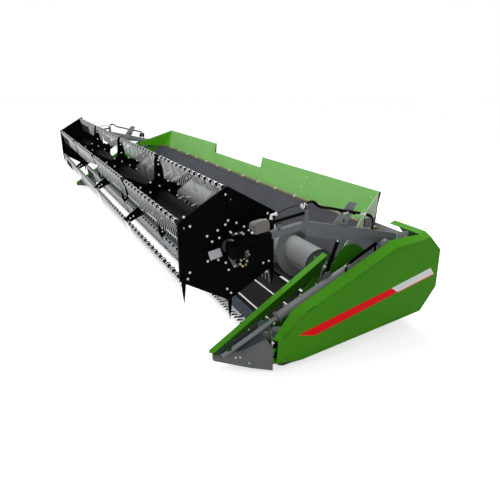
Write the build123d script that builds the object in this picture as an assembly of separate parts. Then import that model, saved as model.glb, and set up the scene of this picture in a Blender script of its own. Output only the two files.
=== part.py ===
from build123d import *
import math
import os

# Belt-fed grain header of a combine harvester: a 9.1 m cutting table with a six-bat tined reel.
# Millimetres, +Z up. X runs across the machine, and +X is its left side, seen driving forward.
# The knife is at the front, towards -Y. Places along Y are written here from the tips of the knife
# guards, positive to the rear, and save() moves each finished piece to the origin: the middle of the
# header's outline on the ground.

# Overall sizes
TABLE_HALF = 4600.0          # centre to the inner face of an end wall
COVER_REACH = 395.0          # inner face of an end wall to the outer face of a side cover
COVER_X = TABLE_HALF + COVER_REACH
REAR_REACH = 2000.0          # knife tips to the rear face of the coupling frame
SHEET = 5.0                  # plate of walls, panels and covers
WALL = 6.0                   # plate of the end walls
RUN = 0.05                   # radial clearance of a running fit
CLEAR = 0.3                  # seat between pieces of two bodies
ROOM = 6.0                   # room between pieces that pass each other

# Cutter bar
GUARD_PITCH = 76.2
GUARD_MARGIN = 100.0         # least room between the end guards and the end walls
GUARD_COUNT = int(2 * (TABLE_HALF - GUARD_MARGIN) // GUARD_PITCH)
GUARD_LEN = 78.0
GUARD_WIDE = 24.0
GUARD_TIP = 8.0
GUARD_LOW = 86.0             # underside above the ground
GUARD_TOP = 112.0
KNIFE_THICK = 4.0
KNIFE_STROKE = 38.1
SHELF_BACK = 100.0           # rear edge of the shelf that carries the knife

# Belts
BELT_COUNT = 6
BELT_GAP = 36.0
BELT_FRONT, BELT_FRONT_TOP = 190.0, 205.0
BELT_REAR, BELT_REAR_TOP = 872.0, 300.0
BELT_THICK = 5.0
ROLLER_R = 32.0
CLEAT_PITCH = 318.0
CLEAT_FIRST = 12.0           # from the front of the flat run to the first cleat
CLEAT_WIDE, CLEAT_HIGH = 16.0, 12.0
RIB = 24.0                   # plate of the ribs between the belts

# Auger
AUGER_Y, AUGER_Z = 1050.0, 630.0
AUGER_INSET = 540.0          # inner face of an end wall to the end of the tube
AUGER_HALF = TABLE_HALF - AUGER_INSET
FLIGHT_INSET = 186.0         # end of the tube to the outer end of a flight
AUGER_TUBE_R = 185.0
AUGER_R = 305.0
AUGER_PITCH = 600.0
AUGER_BARE = 640.0           # centre to the inner end of a flight
FLIGHT_THICK = 6.0
AUGER_SHAFT_R = 30.0
TROUGH_R = 325.0
FINGER_R = 8.0

# Frame
BEAM_FRONT, BEAM_DEEP = 1700.0, 215.0
BEAM_TOP, BEAM_HIGH = 1025.0, 150.0
LOW_BEAM_Y, LOW_BEAM_DEEP = 1745.0, 150.0
LOW_BEAM_Z, LOW_BEAM_HIGH = 100.0, 135.0
OPENING_HALF = 700.0         # half width of the feeder opening
POST = 100.0
POST_X = [OPENING_HALF + 80.0, TABLE_HALF / 2 + 50.0, TABLE_HALF - 220.0]
FLANGE = 92.0                # width of the coupling flange
LOCK_R = 13.0                # hole of a lock lug
LOCK_X = OPENING_HALF - 160.0
SHAFT_R = 22.0               # cross shaft behind the table
SHAFT_PIN = 76.0             # free end of the cross shaft, for the yoke that drives it
OPENING_TOP = 740.0
OPENING_LOW = AUGER_Z - TROUGH_R + 37.0
THROAT = 12.0                # plate of the throat behind it

# Green rear panels
PANEL_TOP = 1425.0
PANEL_LEAN = 88.0            # how far the top edge leans back
PANEL_FOOT = 1812.0
NOTCH_TOP = 1250.0
NOTCH_HALF = 1030.0
WING_WIDE = 570.0            # inner face of an end wall to the end of the flat panels
PANEL_HALF = TABLE_HALF - WING_WIDE
WING_FOLD = 170.0            # end of the flat panels to a wing's fold on the beam
WING_TIP = (983.0, 1040.0)

# Reel
REEL_Y, REEL_Z = -309.0, 1205.0
REEL_INSET = 120.0           # inner face of an end wall to the inner face of an end plate
PLATE_X = TABLE_HALF - REEL_INSET
PLATE_R = 575.0
PLATE_THICK = 6.0
SPIDER_X = [-PLATE_X / 2, 0.0, PLATE_X / 2]
SPIDER_HUB_R = 285.0         # corners of the spider's six-sided middle
REEL_TUBE_R = 110.0
REEL_SHAFT_R = 30.0
BEARING_DEEP = 32.0          # blind end of a reel bearing, outside the arm's middle
BAT_R = 545.0                # circle of the bat tubes
BAT_TUBE_R = 19.0
BAT_COUNT = 6
TINE_PITCH = 150.0
TINE_LEN = 255.0
TINE_WIDE = 7.0
TINE_LEAN = 10.0             # degrees, tips to the rear
RING_SHIFT_Y, RING_SHIFT_Z = 45.0, 30.0
RING_X = PLATE_X + 38.0
RING_THICK = 10.0
RING_HUB_R = 95.0

# Reel arms
ARM_X = TABLE_HALF + 72.0
ARM_WIDE = 84.0              # the folded rear part
SLIDE_WIDE = 66.0            # the square tube at the front
ARM_WALL = 8.0
ARM_PIVOT = (1735.0, 1035.0)
ARM_BEND = (400.0, 1364.0)
ARM_FRONT = (45.0, 1315.0)
ARM_FOLD = ((388.0, 1352.0), (1600.0, 1058.0))
ARM_CROWN = 62.0             # height of the leaning faces above the fold
ARM_CREST = 40.0             # width of the flat on top
ARM_PIN_R = 24.0
FORK = 12.0                  # cheek plate of the pivots
CYL_R, ROD_R = 17.0, 9.0
CYL_RISE = 120.0             # axis of the fore-aft cylinder above the slide line
BRACKET_DEEP, BRACKET_TOP = 42.0, 1516.0
CYL_FRONT, CYL_END = -15.0, 392.0
CLEVIS_LOW = 60.0            # underside of the clevis above the slide line

# Lift cylinders
LIFT_FOOT = (715.0, 800.0)
LIFT_HEAD = (855.0, 1178.0)
LIFT_R, LIFT_ROD_R = 20.0, 12.0
LIFT_PIN_R = 14.0
LIFT_BARREL = 350.0
LIFT_EYE = 36.0              # outer radius of the rod's eye
LIFT_SLACK = 6.0             # play of the rod's eye round its pin

# Side structure
TIP = (-552.0, 128.0)        # divider tip
SIDE_BEAM_REAR = (1330.0, 985.0)
SIDE_BEAM_R = 52.0
SPEAR_R = 26.0                # the thinner front part of a side beam
SPEAR_END = (-470.0, 124.0)   # where that part ends in the nose
SPEAR_JOINT = 150.0
SPEAR_COLLAR = (20.0, 5.0)    # length and height of the collar at the joint
RAIL_INNER, RAIL_OUTER = TABLE_HALF - 52.0, TABLE_HALF + 37.0
COVER_FRONT = -44.0          # foremost edge of a side cover
HINGE_X, HINGE_Y = COVER_X - 45.0, COVER_FRONT - 10.0
HINGE_R, HINGE_PIN_R = 9.0, 5.0
HINGE_EYES = [(110.0, 150.0), (215.0, 255.0)]    # heights of a cover's two eyes
HINGE_LEAF = 32.0            # from the pin's axis to the inside of the cover's front wall
HINGE_STAND = 18.0           # height of the stand under an eye

REEL_AHEAD = -REEL_Y
FRONT_REACH = REEL_AHEAD + PLATE_R * math.cos(math.radians(30))
KNIFE_Y = (FRONT_REACH - REAR_REACH) / 2


def slab(x0, x1, y0, y1, z0, z1):
    """A block between two corners."""
    middle = Pos((x0 + x1) / 2, (y0 + y1) / 2, (z0 + z1) / 2)
    return middle * Box(abs(x1 - x0), abs(y1 - y0), abs(z1 - z0))


def prism(outline, x0, x1):
    """A side outline of (y, z) points, drawn out from x0 to x1."""
    face = make_face(Polyline(*[(x0, y, z) for y, z in outline], close=True))
    return extrude(face, amount=x1 - x0, dir=(1, 0, 0))


def plate(points, thick):
    """A flat plate on three or more points, thickened along its own normal."""
    return extrude(make_face(Polyline(*points, close=True)), amount=thick)


def rod(start, end, radius):
    """A round bar between two points."""
    axis = Vector(end) - Vector(start)
    place = Plane(origin=start, z_dir=axis)
    return place * Cylinder(radius, axis.length, align=(Align.CENTER, Align.CENTER, Align.MIN))


def pipe(start, end, outer, inner):
    """A round tube between two points."""
    return rod(start, end, outer) - rod(start, end, inner)


def along(start, end, distance):
    """The point of the (y, z) line from start to end at a distance from start."""
    length = math.dist(start, end)
    return tuple(a + (b - a) * distance / length for a, b in zip(start, end))


def band(line, below, above):
    """The closed outline of a strip along an open (y, z) line, measured straight up and down."""
    upper = [(y, z + above) for y, z in line]
    lower = [(y, z - below) for y, z in reversed(line)]
    return upper + lower


def both_sides(piece):
    """A piece of the left side and its mirror image on the right."""
    return [piece, mirror(piece, about=Plane.YZ)]


def save(name, *pieces):
    """Write the solids of one node, moved to the header's origin."""
    solids = []
    for piece in pieces:
        for solid in piece.solids():
            solids.append(Pos(0, KNIFE_Y, 0) * solid)
    export_step(Compound(children=solids), "parts/" + name + ".step")


def save_pair(name, piece):
    """Write a left piece and its mirrored right partner as two nodes."""
    left, right = both_sides(piece)
    save(name + "_left", left)
    save(name + "_right", right)


# Cutter bar


def knife_guards():
    half = GUARD_PITCH * GUARD_COUNT / 2
    points = [(-half, GUARD_LEN)]
    for i in range(GUARD_COUNT):
        x = -half + GUARD_PITCH * (i + 0.5)
        points += [
            (x - GUARD_WIDE / 2, GUARD_LEN - 8),
            (x - GUARD_TIP / 2, 0),
            (x + GUARD_TIP / 2, 0),
            (x + GUARD_WIDE / 2, GUARD_LEN - 8),
        ]
    points.append((half, GUARD_LEN))
    comb = extrude(make_face(Polyline(*points, close=True)), amount=GUARD_TOP)
    tip_low = (GUARD_LOW + GUARD_TOP) / 2 - 4
    side = prism(
        [(0, tip_low), (GUARD_LEN, GUARD_LOW), (GUARD_LEN, GUARD_TOP), (14, GUARD_TOP), (0, tip_low + 10)],
        -half,
        half,
    )
    return comb & side


def knife_beam():
    outline = [
        (GUARD_LEN, GUARD_LOW),
        (GUARD_LEN, GUARD_TOP),
        (SHELF_BACK, GUARD_TOP),
        (BELT_FRONT - 8, BELT_FRONT_TOP - 4),
        (BELT_FRONT - 8, BELT_FRONT_TOP - 14),
        (SHELF_BACK + 12, GUARD_TOP - 8),
        (SHELF_BACK + 12, GUARD_LOW),
    ]
    return prism(outline, -TABLE_HALF, TABLE_HALF)


def knife():
    """Triangular sections riveted along one bar, free to slide across."""
    half = GUARD_PITCH * GUARD_COUNT / 2 - KNIFE_STROKE - ROOM
    count = int(2 * half // GUARD_PITCH)
    back = SHELF_BACK - ROOM
    points = [(-count * GUARD_PITCH / 2, back)]
    for i in range(count):
        x = GUARD_PITCH * (i - count / 2)
        points += [(x + 2, 66), (x + GUARD_PITCH / 2 - 6, 22), (x + GUARD_PITCH / 2 + 6, 22)]
        points.append((x + GUARD_PITCH - 2, 66))
    points.append((count * GUARD_PITCH / 2, back))
    sections = extrude(make_face(Polyline(*points, close=True)), amount=KNIFE_THICK)
    return Pos(0, 0, GUARD_TOP + CLEAR) * sections


# Belts and table


def belt_direction():
    return math.degrees(math.atan2(BELT_REAR_TOP - BELT_FRONT_TOP, BELT_REAR - BELT_FRONT))


def belt_spans():
    """The left and right edge of each belt."""
    pitch = (2 * TABLE_HALF + BELT_GAP - 8) / BELT_COUNT
    first = -TABLE_HALF + 4
    return [(first + i * pitch, first + (i + 1) * pitch - BELT_GAP) for i in range(BELT_COUNT)]


def roller_centres():
    outer = ROLLER_R + BELT_THICK
    tilt = math.radians(belt_direction())
    front = (BELT_FRONT + outer, BELT_FRONT_TOP - outer + outer * math.tan(tilt))
    length = BELT_REAR - BELT_FRONT - 2 * outer
    return front, (front[0] + length, front[1] + length * math.tan(tilt))


def belt_loop(radius, x0, x1):
    """The outline of a belt round its two rollers, drawn out from x0 to x1."""
    front, rear = roller_centres()
    length = math.dist(front, rear)
    middle = (x0, (front[0] + rear[0]) / 2, (front[1] + rear[1]) / 2)
    base = Plane(origin=middle, x_dir=(0, 1, 0), z_dir=(1, 0, 0))
    loop = base * (Rot(0, 0, belt_direction()) * SlotCenterToCenter(length, 2 * radius))
    return extrude(loop, amount=x1 - x0, dir=(1, 0, 0))


def feed_belts():
    belts = []
    inner = ROLLER_R + CLEAR
    outer = ROLLER_R + BELT_THICK
    front, rear = roller_centres()
    tilt = belt_direction()
    for x0, x1 in belt_spans():
        belt = belt_loop(outer, x0, x1) - belt_loop(inner, x0, x1)
        place = CLEAT_FIRST
        while place < math.dist(front, rear):
            y, z = along(front, rear, place)
            cleat = slab(x0, x1, -CLEAT_WIDE / 2, CLEAT_WIDE / 2, outer - 2, outer + CLEAT_HIGH)
            belt += Pos(0, y, z) * Rot(tilt, 0, 0) * cleat
            place += CLEAT_PITCH
        belts.append(belt)
    return belts


def belt_rollers():
    rollers = []
    for x0, x1 in belt_spans():
        left = max(x0 - (BELT_GAP - RIB) / 2, -TABLE_HALF)
        right = min(x1 + (BELT_GAP - RIB) / 2, TABLE_HALF)
        for y, z in roller_centres():
            rollers.append(rod((left, y, z), (right, y, z), ROLLER_R))
    return rollers


def table_ribs():
    """Plates in the gaps between the belts, from the knife beam to the lower rear beam."""
    outline = [
        (SHELF_BACK + 14, GUARD_LOW),
        (SHELF_BACK + 14, GUARD_TOP - 10),
        (BELT_FRONT + 4, BELT_FRONT_TOP - 30),
        (BELT_REAR, BELT_REAR_TOP - 16),
        (AUGER_Y + 120, AUGER_Z - TROUGH_R - 22),
        (LOW_BEAM_Y, LOW_BEAM_Z + 120),
        (LOW_BEAM_Y, LOW_BEAM_Z),
        (BELT_REAR, LOW_BEAM_Z),
    ]
    pitch = (2 * TABLE_HALF + BELT_GAP - 8) / BELT_COUNT
    ribs = []
    for i in range(BELT_COUNT + 1):
        x = -TABLE_HALF + 4 - BELT_GAP / 2 + i * pitch
        if abs(x) < TABLE_HALF:
            ribs.append(prism(outline, x - RIB / 2, x + RIB / 2))
    return ribs


# Auger


def auger_trough():
    """A flat pan behind the belts that turns up round the auger, open at the feeder."""
    outer, inner = TROUGH_R + SHEET, TROUGH_R
    ring = rod((-TABLE_HALF, AUGER_Y, AUGER_Z), (TABLE_HALF, AUGER_Y, AUGER_Z), outer)
    ring -= rod((-TABLE_HALF - 1, AUGER_Y, AUGER_Z), (TABLE_HALF + 1, AUGER_Y, AUGER_Z), inner)
    ring &= slab(-TABLE_HALF, TABLE_HALF, AUGER_Y, AUGER_Y + outer + 1, AUGER_Z - outer - 1, AUGER_Z)
    bottom = AUGER_Z - TROUGH_R
    pan = slab(-TABLE_HALF, TABLE_HALF, BELT_REAR + 8, AUGER_Y, bottom - SHEET, bottom)
    opening = slab(-OPENING_HALF, OPENING_HALF, AUGER_Y + 150, AUGER_Y + outer + 5, OPENING_LOW, AUGER_Z + 5)
    return pan + (ring - opening)


def wall_line():
    return (AUGER_Y + TROUGH_R, AUGER_Z), (BEAM_FRONT - SHEET, BEAM_TOP - 30)


def wall_y(z):
    """The front face of the sloping back wall at a height."""
    low, high = wall_line()
    return low[0] + (high[0] - low[0]) * (z - low[1]) / (high[1] - low[1])


def back_wall():
    low, high = wall_line()
    outline = [low, high, (high[0] + SHEET, high[1]), (low[0] + SHEET, low[1])]
    sheet = prism(outline, -TABLE_HALF, TABLE_HALF)
    top = OPENING_TOP + THROAT
    return sheet - slab(-OPENING_HALF, OPENING_HALF, low[0] - 5, high[0] + 9, low[1] - 5, top)


def auger_tube():
    wall, inset = 8, 30
    ends = [(side * AUGER_HALF, AUGER_Y, AUGER_Z) for side in (-1, 1)]
    tube = pipe(*ends, AUGER_TUBE_R, AUGER_TUBE_R - wall)
    for side in (-1, 1):
        disc = ((AUGER_HALF - inset) * side, AUGER_Y, AUGER_Z)
        tube += rod(disc, ((AUGER_HALF - inset - 10) * side, AUGER_Y, AUGER_Z), AUGER_TUBE_R - wall + 1)
        shaft_end = ((TABLE_HALF + WALL + 30) * side, AUGER_Y, AUGER_Z)
        tube += rod(((AUGER_HALF - inset - 5) * side, AUGER_Y, AUGER_Z), shaft_end, AUGER_SHAFT_R)
    return tube


def auger_flight():
    """The left helical sheet, wound inwards from its outer end in straight-edged steps of 20 degrees."""
    step = 20
    inner = AUGER_TUBE_R / math.cos(math.radians(step / 2)) + 0.02
    x_start, x_end = AUGER_HALF - FLIGHT_INSET, AUGER_BARE
    count = round((x_start - x_end) / AUGER_PITCH * 360 / step)
    sections = []
    for i in range(count + 1):
        x = x_start + (x_end - x_start) * i / count
        turn = math.radians(-step * i)
        cos, sin = math.cos(turn), math.sin(turn)
        corners = []
        for dx, r in ((0, inner), (FLIGHT_THICK, inner), (FLIGHT_THICK, AUGER_R), (0, AUGER_R)):
            corners.append((x + dx, AUGER_Y + r * cos, AUGER_Z + r * sin))
        sections.append(make_face(Polyline(*corners, close=True)))
    return loft(sections, ruled=True)


def auger_fingers():
    """Rods in a spiral round the middle, level with the feeder opening."""
    fingers = []
    count = 13
    for i in range(count):
        x = (i - (count - 1) / 2) * 90
        for turn in (i * 67, i * 67 + 180):
            cos, sin = math.cos(math.radians(turn)), math.sin(math.radians(turn))
            near, far = AUGER_TUBE_R + 0.2, AUGER_R - 8
            start = (x, AUGER_Y + near * cos, AUGER_Z + near * sin)
            fingers.append(rod(start, (x, AUGER_Y + far * cos, AUGER_Z + far * sin), FINGER_R))
    return fingers


# Rear frame


def rear_frame():
    frame = slab(-TABLE_HALF, TABLE_HALF, BEAM_FRONT, BEAM_FRONT + BEAM_DEEP, BEAM_TOP - BEAM_HIGH, BEAM_TOP)
    low_rear = LOW_BEAM_Y + LOW_BEAM_DEEP
    frame += slab(-TABLE_HALF, TABLE_HALF, LOW_BEAM_Y, low_rear, LOW_BEAM_Z, LOW_BEAM_Z + LOW_BEAM_HIGH)
    for x in POST_X:
        post = slab(x - POST / 2, x + POST / 2, low_rear - POST, low_rear, LOW_BEAM_Z + 10, BEAM_TOP - 10)
        for piece in both_sides(post):
            frame += piece
    return frame


def coupling_frame():
    """The throat behind the feeder opening with the flange that a feeder house takes hold of."""
    rear, half, top = REAR_REACH, OPENING_HALF, OPENING_TOP
    low = OPENING_LOW - THROAT
    ring = rod((-half - 50, AUGER_Y, AUGER_Z), (half + 50, AUGER_Y, AUGER_Z), TROUGH_R + SHEET + CLEAR)
    frame = slab(-half, half, wall_y(top), rear, top, top + THROAT)
    frame += slab(-half, half, AUGER_Y + 130, rear, low, OPENING_LOW)
    cheek = [
        (AUGER_Y + 130, low), (AUGER_Y + 130, AUGER_Z), (wall_y(AUGER_Z) + SHEET + CLEAR, AUGER_Z),
        (wall_y(top + THROAT) + SHEET + CLEAR, top + THROAT), (rear, top + THROAT), (rear, low),
    ]
    for piece in both_sides(prism(cheek, half, half + THROAT)):
        frame += piece
    frame -= ring
    for piece in both_sides(slab(half + THROAT, half + FLANGE, rear - 14, rear, low - 60, top + 30)):
        frame += piece
    frame += slab(-half - FLANGE, half + FLANGE, rear - 14, rear, top + THROAT, top + FLANGE)
    frame += slab(-half - FLANGE, half + FLANGE, rear - 14, rear, low - 78, low)
    for x in (-LOCK_X, LOCK_X):
        frame += slab(x - 60, x + 60, rear - 34, rear - 14, top + FLANGE - 60, top + FLANGE + 60)
        lug = slab(x - 10, x + 10, rear - 90, rear - 14, low - 78, low)
        frame += lug - rod((x - 20, rear - 52, low - 38), (x + 20, rear - 52, low - 38), LOCK_R)
    for x in (-half - FLANGE + 30, half + FLANGE - 30):
        frame += slab(x - 30, x + 30, LOW_BEAM_Y + LOW_BEAM_DEEP, rear - 14, low - 60, low - 20)
    return frame


def skid_shoes():
    shoe = [
        (SHELF_BACK + 14, 58), (SHELF_BACK + 90, 0), (BELT_REAR - 120, 0), (BELT_REAR - 40, 40),
        (BELT_REAR - 40, GUARD_LOW + 8), (SHELF_BACK + 14, GUARD_LOW - 0.5),
    ]
    rear = [
        (LOW_BEAM_Y + 10, 20), (LOW_BEAM_Y + 30, 0), (LOW_BEAM_Y + 130, 0), (LOW_BEAM_Y + 150, 20),
        (LOW_BEAM_Y + 150, LOW_BEAM_Z), (LOW_BEAM_Y + 10, LOW_BEAM_Z),
    ]
    pitch = (2 * TABLE_HALF + BELT_GAP - 8) / BELT_COUNT
    shoes = []
    for i in (1, 3, 5):
        x = -TABLE_HALF + 4 - BELT_GAP / 2 + i * pitch
        front = prism(shoe, x - 70, x + 70)
        front -= slab(x - RIB / 2 - 0.2, x + RIB / 2 + 0.2, 0, BELT_REAR, GUARD_LOW - 0.5, GUARD_LOW + 40)
        shoes.append(front)
    for x in (-POST_X[1], POST_X[1]):
        shoes.append(prism(rear, x - 90, x + 90))
    return shoes


def rear_panel(corners):
    """A leaning sheet whose (x, z) corners lie on the plane of the rear panels."""
    lean = PANEL_LEAN / (PANEL_TOP - BEAM_TOP)
    points = [(x, PANEL_FOOT + (z - BEAM_TOP) * lean, z) for x, z in corners]
    return plate(points, SHEET)


def panel_wing():
    """Two triangular sheets from the panel's end, over the beam and forward to the end wall."""
    edge = PANEL_HALF + SHEET
    top = (edge, PANEL_FOOT + PANEL_LEAN, PANEL_TOP)
    foot = (edge, PANEL_FOOT, BEAM_TOP)
    fold = (PANEL_HALF + WING_FOLD, BEAM_FRONT + 10, BEAM_TOP + 1)
    tip = (TABLE_HALF - 4, *WING_TIP)
    return plate([top, foot, fold], SHEET) + plate([top, fold, tip], SHEET)


def panel_brackets():
    brackets = []
    lean = PANEL_LEAN / (PANEL_TOP - BEAM_TOP)
    rear_low, rear_high = PANEL_FOOT + 8, PANEL_FOOT + 8 + (PANEL_TOP - BEAM_TOP) * lean
    for x in (PANEL_HALF - 20, (PANEL_HALF + NOTCH_HALF) / 2, NOTCH_HALF + 60):
        height = PANEL_TOP - 6
        outline = [
            (rear_low, BEAM_TOP), (rear_high, height), (rear_high + 24, height), (rear_low + 85, BEAM_TOP),
        ]
        brackets += both_sides(prism(outline, x - 5, x + 5))
    return brackets


def hydraulic_pipes():
    """Steel pipes laid along the front of the top beam."""
    pipes = []
    for i in range(3):
        y = BEAM_FRONT + 18 + 24 * i
        z = BEAM_TOP + 8 + CLEAR
        pipes.append(rod((40 - PANEL_HALF, y, z), (PANEL_HALF - 40 - 90 * i, y, z), 8))
    return pipes


# Side structure


def end_wall():
    arc_y, arc_z, arc_r = AUGER_Y + 20, 845.0, 205.0
    hump = []
    for turn in range(170, 20, -15):
        cos, sin = math.cos(math.radians(turn)), math.sin(math.radians(turn))
        hump.append((arc_y + arc_r * cos, arc_z + arc_r * sin))
    rear = BEAM_FRONT + BEAM_DEEP
    outline = [(20, GUARD_LOW), (20, 180), (660, 790)] + hump
    outline += [(1450, 940), (BEAM_FRONT - 1, BEAM_TOP), (rear, BEAM_TOP), (rear, 560)]
    outline += [(1780, 290), (LOW_BEAM_Y, LOW_BEAM_Z), (BELT_REAR, LOW_BEAM_Z)]
    wall = prism(outline, TABLE_HALF, TABLE_HALF + WALL)
    shaft = rod((TABLE_HALF - 10, AUGER_Y, AUGER_Z), (TABLE_HALF + 20, AUGER_Y, AUGER_Z), AUGER_SHAFT_R + RUN)
    return wall - shaft


def divider_rail():
    tip_top, rear_top = (TIP[0] - 10, TIP[1] + 32), (748, 985)
    tip_low, rear_low = (TIP[0] + 60, TIP[1] + 20), (666, 805)
    top = prism(band([tip_top, rear_top], SHEET, 0), RAIL_INNER, RAIL_OUTER)
    side = prism([tip_top, rear_top, rear_low, tip_low], RAIL_OUTER - SHEET, RAIL_OUTER)
    inner = prism(band([tip_top, rear_top], 40, 0), RAIL_INNER, RAIL_INNER + SHEET)
    rail = top + side + inner
    for y in (TIP[0] + 150, 40, 440):
        x, _, z = side_beam_point(y)
        rail += slab(RAIL_OUTER - SHEET, x, y - 20, y + 20, z - 14, z + 14)
    return rail - side_beam()


def side_beam_point(y):
    """The axis of the side beam's tube at a distance behind the knife, as (x, y, z)."""
    share = (y - TIP[0]) / (SIDE_BEAM_REAR[0] - TIP[0])
    z = TIP[1] + (SIDE_BEAM_REAR[1] - TIP[1]) * share
    return (RAIL_OUTER + SIDE_BEAM_R + 28 * share, y, z)


def side_beam():
    """The gray tube from the nose up to the reel arm's bracket, thinner ahead of its collar."""
    length, height = SPEAR_COLLAR
    joint = side_beam_point(SPEAR_JOINT)
    beam = rod((RAIL_OUTER + SPEAR_R + CLEAR, *SPEAR_END), joint, SPEAR_R)
    beam += rod(side_beam_point(SPEAR_JOINT - length), joint, SIDE_BEAM_R + height)
    beam += rod(joint, side_beam_point(SIDE_BEAM_REAR[0]), SIDE_BEAM_R)
    return beam - arm_bracket()


def arm_bracket():
    """The upright plate at the end of the top beam that carries the reel arm's pivot."""
    y, z = ARM_PIVOT
    rear = BEAM_FRONT + BEAM_DEEP - 20
    outline = [
        (SIDE_BEAM_REAR[0] - 60, 880), (SIDE_BEAM_REAR[0] + 40, 960), (y - 60, z + 40), (y + 40, z + 50),
        (rear, 960), (rear, 560), (SIDE_BEAM_REAR[0] + 120, 620),
    ]
    outer = ARM_X + ARM_WIDE / 2 + ROOM
    bracket = prism(outline, outer, outer + FORK)
    bracket += slab(TABLE_HALF + WALL, outer, BEAM_FRONT + 30, BEAM_FRONT + BEAM_DEEP - 40, 700, 900)
    bracket += slab(TABLE_HALF + WALL, outer, SIDE_BEAM_REAR[0] + 150, SIDE_BEAM_REAR[0] + 200, 640, 860)
    pin = rod((TABLE_HALF + WALL, y, z), (outer + FORK + 14, y, z), ARM_PIN_R)
    return bracket + pin


def nose_fender():
    """The hollow nose ahead of a side cover, widening from the divider tip."""
    stations = [
        # y, inner x, outer x, low z, shoulder z, high z
        (TIP[0], TABLE_HALF, TABLE_HALF + 40, TIP[1] - 45, TIP[1] - 20, TIP[1] + 4),
        (TIP[0] + 300, TABLE_HALF + 4, TABLE_HALF + 260, 44, 150, 205),
        (COVER_FRONT - 20, TABLE_HALF + 8, TABLE_HALF + 362, 22, 270, 330),
    ]
    outer, inner = [], []
    wall = SHEET + 3
    for y, x0, x1, low, shoulder, high in stations:
        shell = [(x0, y, low), (x1, y, low), (x1 - 8, y, shoulder), (x0, y, high)]
        hollow_x, back = x1 - 3 * wall, y + wall
        hollow = [
            (x0 + wall, back, low + wall), (hollow_x, back, low + wall),
            (hollow_x - 8, back, shoulder - 2 * wall), (x0 + wall, back, high - 2 * wall),
        ]
        outer.append(make_face(Polyline(*shell, close=True)))
        inner.append(make_face(Polyline(*hollow, close=True)))
    nose = loft(outer, ruled=True) - loft(inner[1:], ruled=True) - side_beam()
    for low, high in HINGE_EYES:
        nose += hinge_stand(low - CLEAR, high + ROOM)
    return nose


def hinge_stand(top, pin_top):
    """The stand on the nose's rear edge that a cover's eye rests on, with its pin."""
    low = top - HINGE_STAND
    stand = rod((HINGE_X, HINGE_Y, low), (HINGE_X, HINGE_Y, top), HINGE_R)
    stand += slab(HINGE_X - HINGE_R, HINGE_X + HINGE_R, HINGE_Y - 2 * HINGE_R, HINGE_Y, low, top)
    return stand + rod((HINGE_X, HINGE_Y, low), (HINGE_X, HINGE_Y, pin_top), HINGE_PIN_R)


def hinge_eye(low, high):
    """An eye in front of a cover, with its leaf back to the cover's front wall."""
    eye = rod((HINGE_X, HINGE_Y, low), (HINGE_X, HINGE_Y, high), HINGE_R)
    eye += slab(HINGE_X - 3, HINGE_X + 3, HINGE_Y, HINGE_Y + HINGE_LEAF, low, high)
    return eye - rod((HINGE_X, HINGE_Y, low - 1), (HINGE_X, HINGE_Y, high + 1), HINGE_PIN_R + RUN)


def knife_drive():
    """The gear case that drives the knife, behind the nose."""
    case = slab(TABLE_HALF + WALL, TABLE_HALF + 190, 10, 250, 92, 250)
    case = fillet(case.edges().filter_by(Axis.X), 30)
    boss = rod((TABLE_HALF + 100, 130, 250), (TABLE_HALF + 100, 130, 300), 60)
    return case + boss


def cover_strut():
    """The gas strut of a side cover, clipped along the side beam."""
    x = ARM_X + 87
    start, end = (893.0, 881.0), (1280.0, 1075.0)
    length = math.dist(start, end)
    middle = along(start, end, 60)
    strut = rod((x, *start), (x, *middle), 8) + rod((x, *middle), (x, *end), 17)
    for y, z in (along(start, end, 10), along(start, end, length - 14)):
        strut += slab(x - 7, x + 7, y - 8, y + 8, side_beam_point(y)[2] + 20, z)
    return strut - side_beam()


# Side covers


COVER_OUTLINE = [
    # (y, z) of the flat outer face, then of the open inner edge
    ((-26, 106), (COVER_FRONT, 60)),
    ((-6, 349), (-36, 330)),
    ((205, 569), (170, 600)),
    ((1362, 1090), (1342, 1140)),
    ((1740, 1118), (1740, 1150)),
    ((1807, 1140), (1812, 1176)),
    ((1978, 970), (1995, 975)),
    ((1985, 536), (1995, 520)),
    ((1789, 274), (1800, 245)),
    ((283, 80), (290, 45)),
]
COVER_DEEP = 92.0            # from the flat face in to the open edge
CAP_INNER = TABLE_HALF - 160.0   # how far the rear corner wraps inwards


def cover_shell(inset):
    """The dished side of a cover; inset shrinks it to cut the hollow."""
    outer = [(COVER_X - inset, y, z) for (y, z), _ in COVER_OUTLINE]
    inner = [(COVER_X - COVER_DEEP, y, z) for _, (y, z) in COVER_OUTLINE]
    sections = []
    for ring in (outer, inner):
        face = make_face(Polyline(*ring, close=True))
        sections.append(offset(face, amount=-inset, kind=Kind.INTERSECTION) if inset else face)
    return loft(sections, ruled=True)


def side_cover():
    shell = cover_shell(0) - cover_shell(SHEET)
    inner_x = COVER_X - COVER_DEEP
    cap_line = [(1740, 1150), (1812, 1176), (1995, 975), (1995, 520), (1800, 245)]
    core_line = [(1740, 1145), (1810, 1170), (1990, 973), (1990, 522), (1797, 250)]
    cover = shell + prism(cap_line + core_line[::-1], CAP_INNER, inner_x + 1)
    for low, high in HINGE_EYES:
        cover += hinge_eye(low, high)
    return cover


# Reel


def vertex(radius, turn):
    """A point of the reel's circle as (y, z); turn counts from straight up."""
    angle = math.radians(90 + turn)
    return REEL_Y + radius * math.cos(angle), REEL_Z + radius * math.sin(angle)


def bat_turns():
    return [i * 360 / BAT_COUNT for i in range(BAT_COUNT)]


def bore_bats(piece, x0, x1):
    """Cut the running holes for the bat tubes."""
    for turn in bat_turns():
        y, z = vertex(BAT_R, turn)
        piece -= rod((x0, y, z), (x1, y, z), BAT_TUBE_R + RUN)
    return piece


def reel_end_plate():
    x0, x1 = PLATE_X, PLATE_X + PLATE_THICK
    plate_outline = [vertex(PLATE_R, turn) for turn in bat_turns()]
    end = prism(plate_outline, x0, x1)
    end = bore_bats(end, x0 - 1, x1 + 1)
    return end


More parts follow.
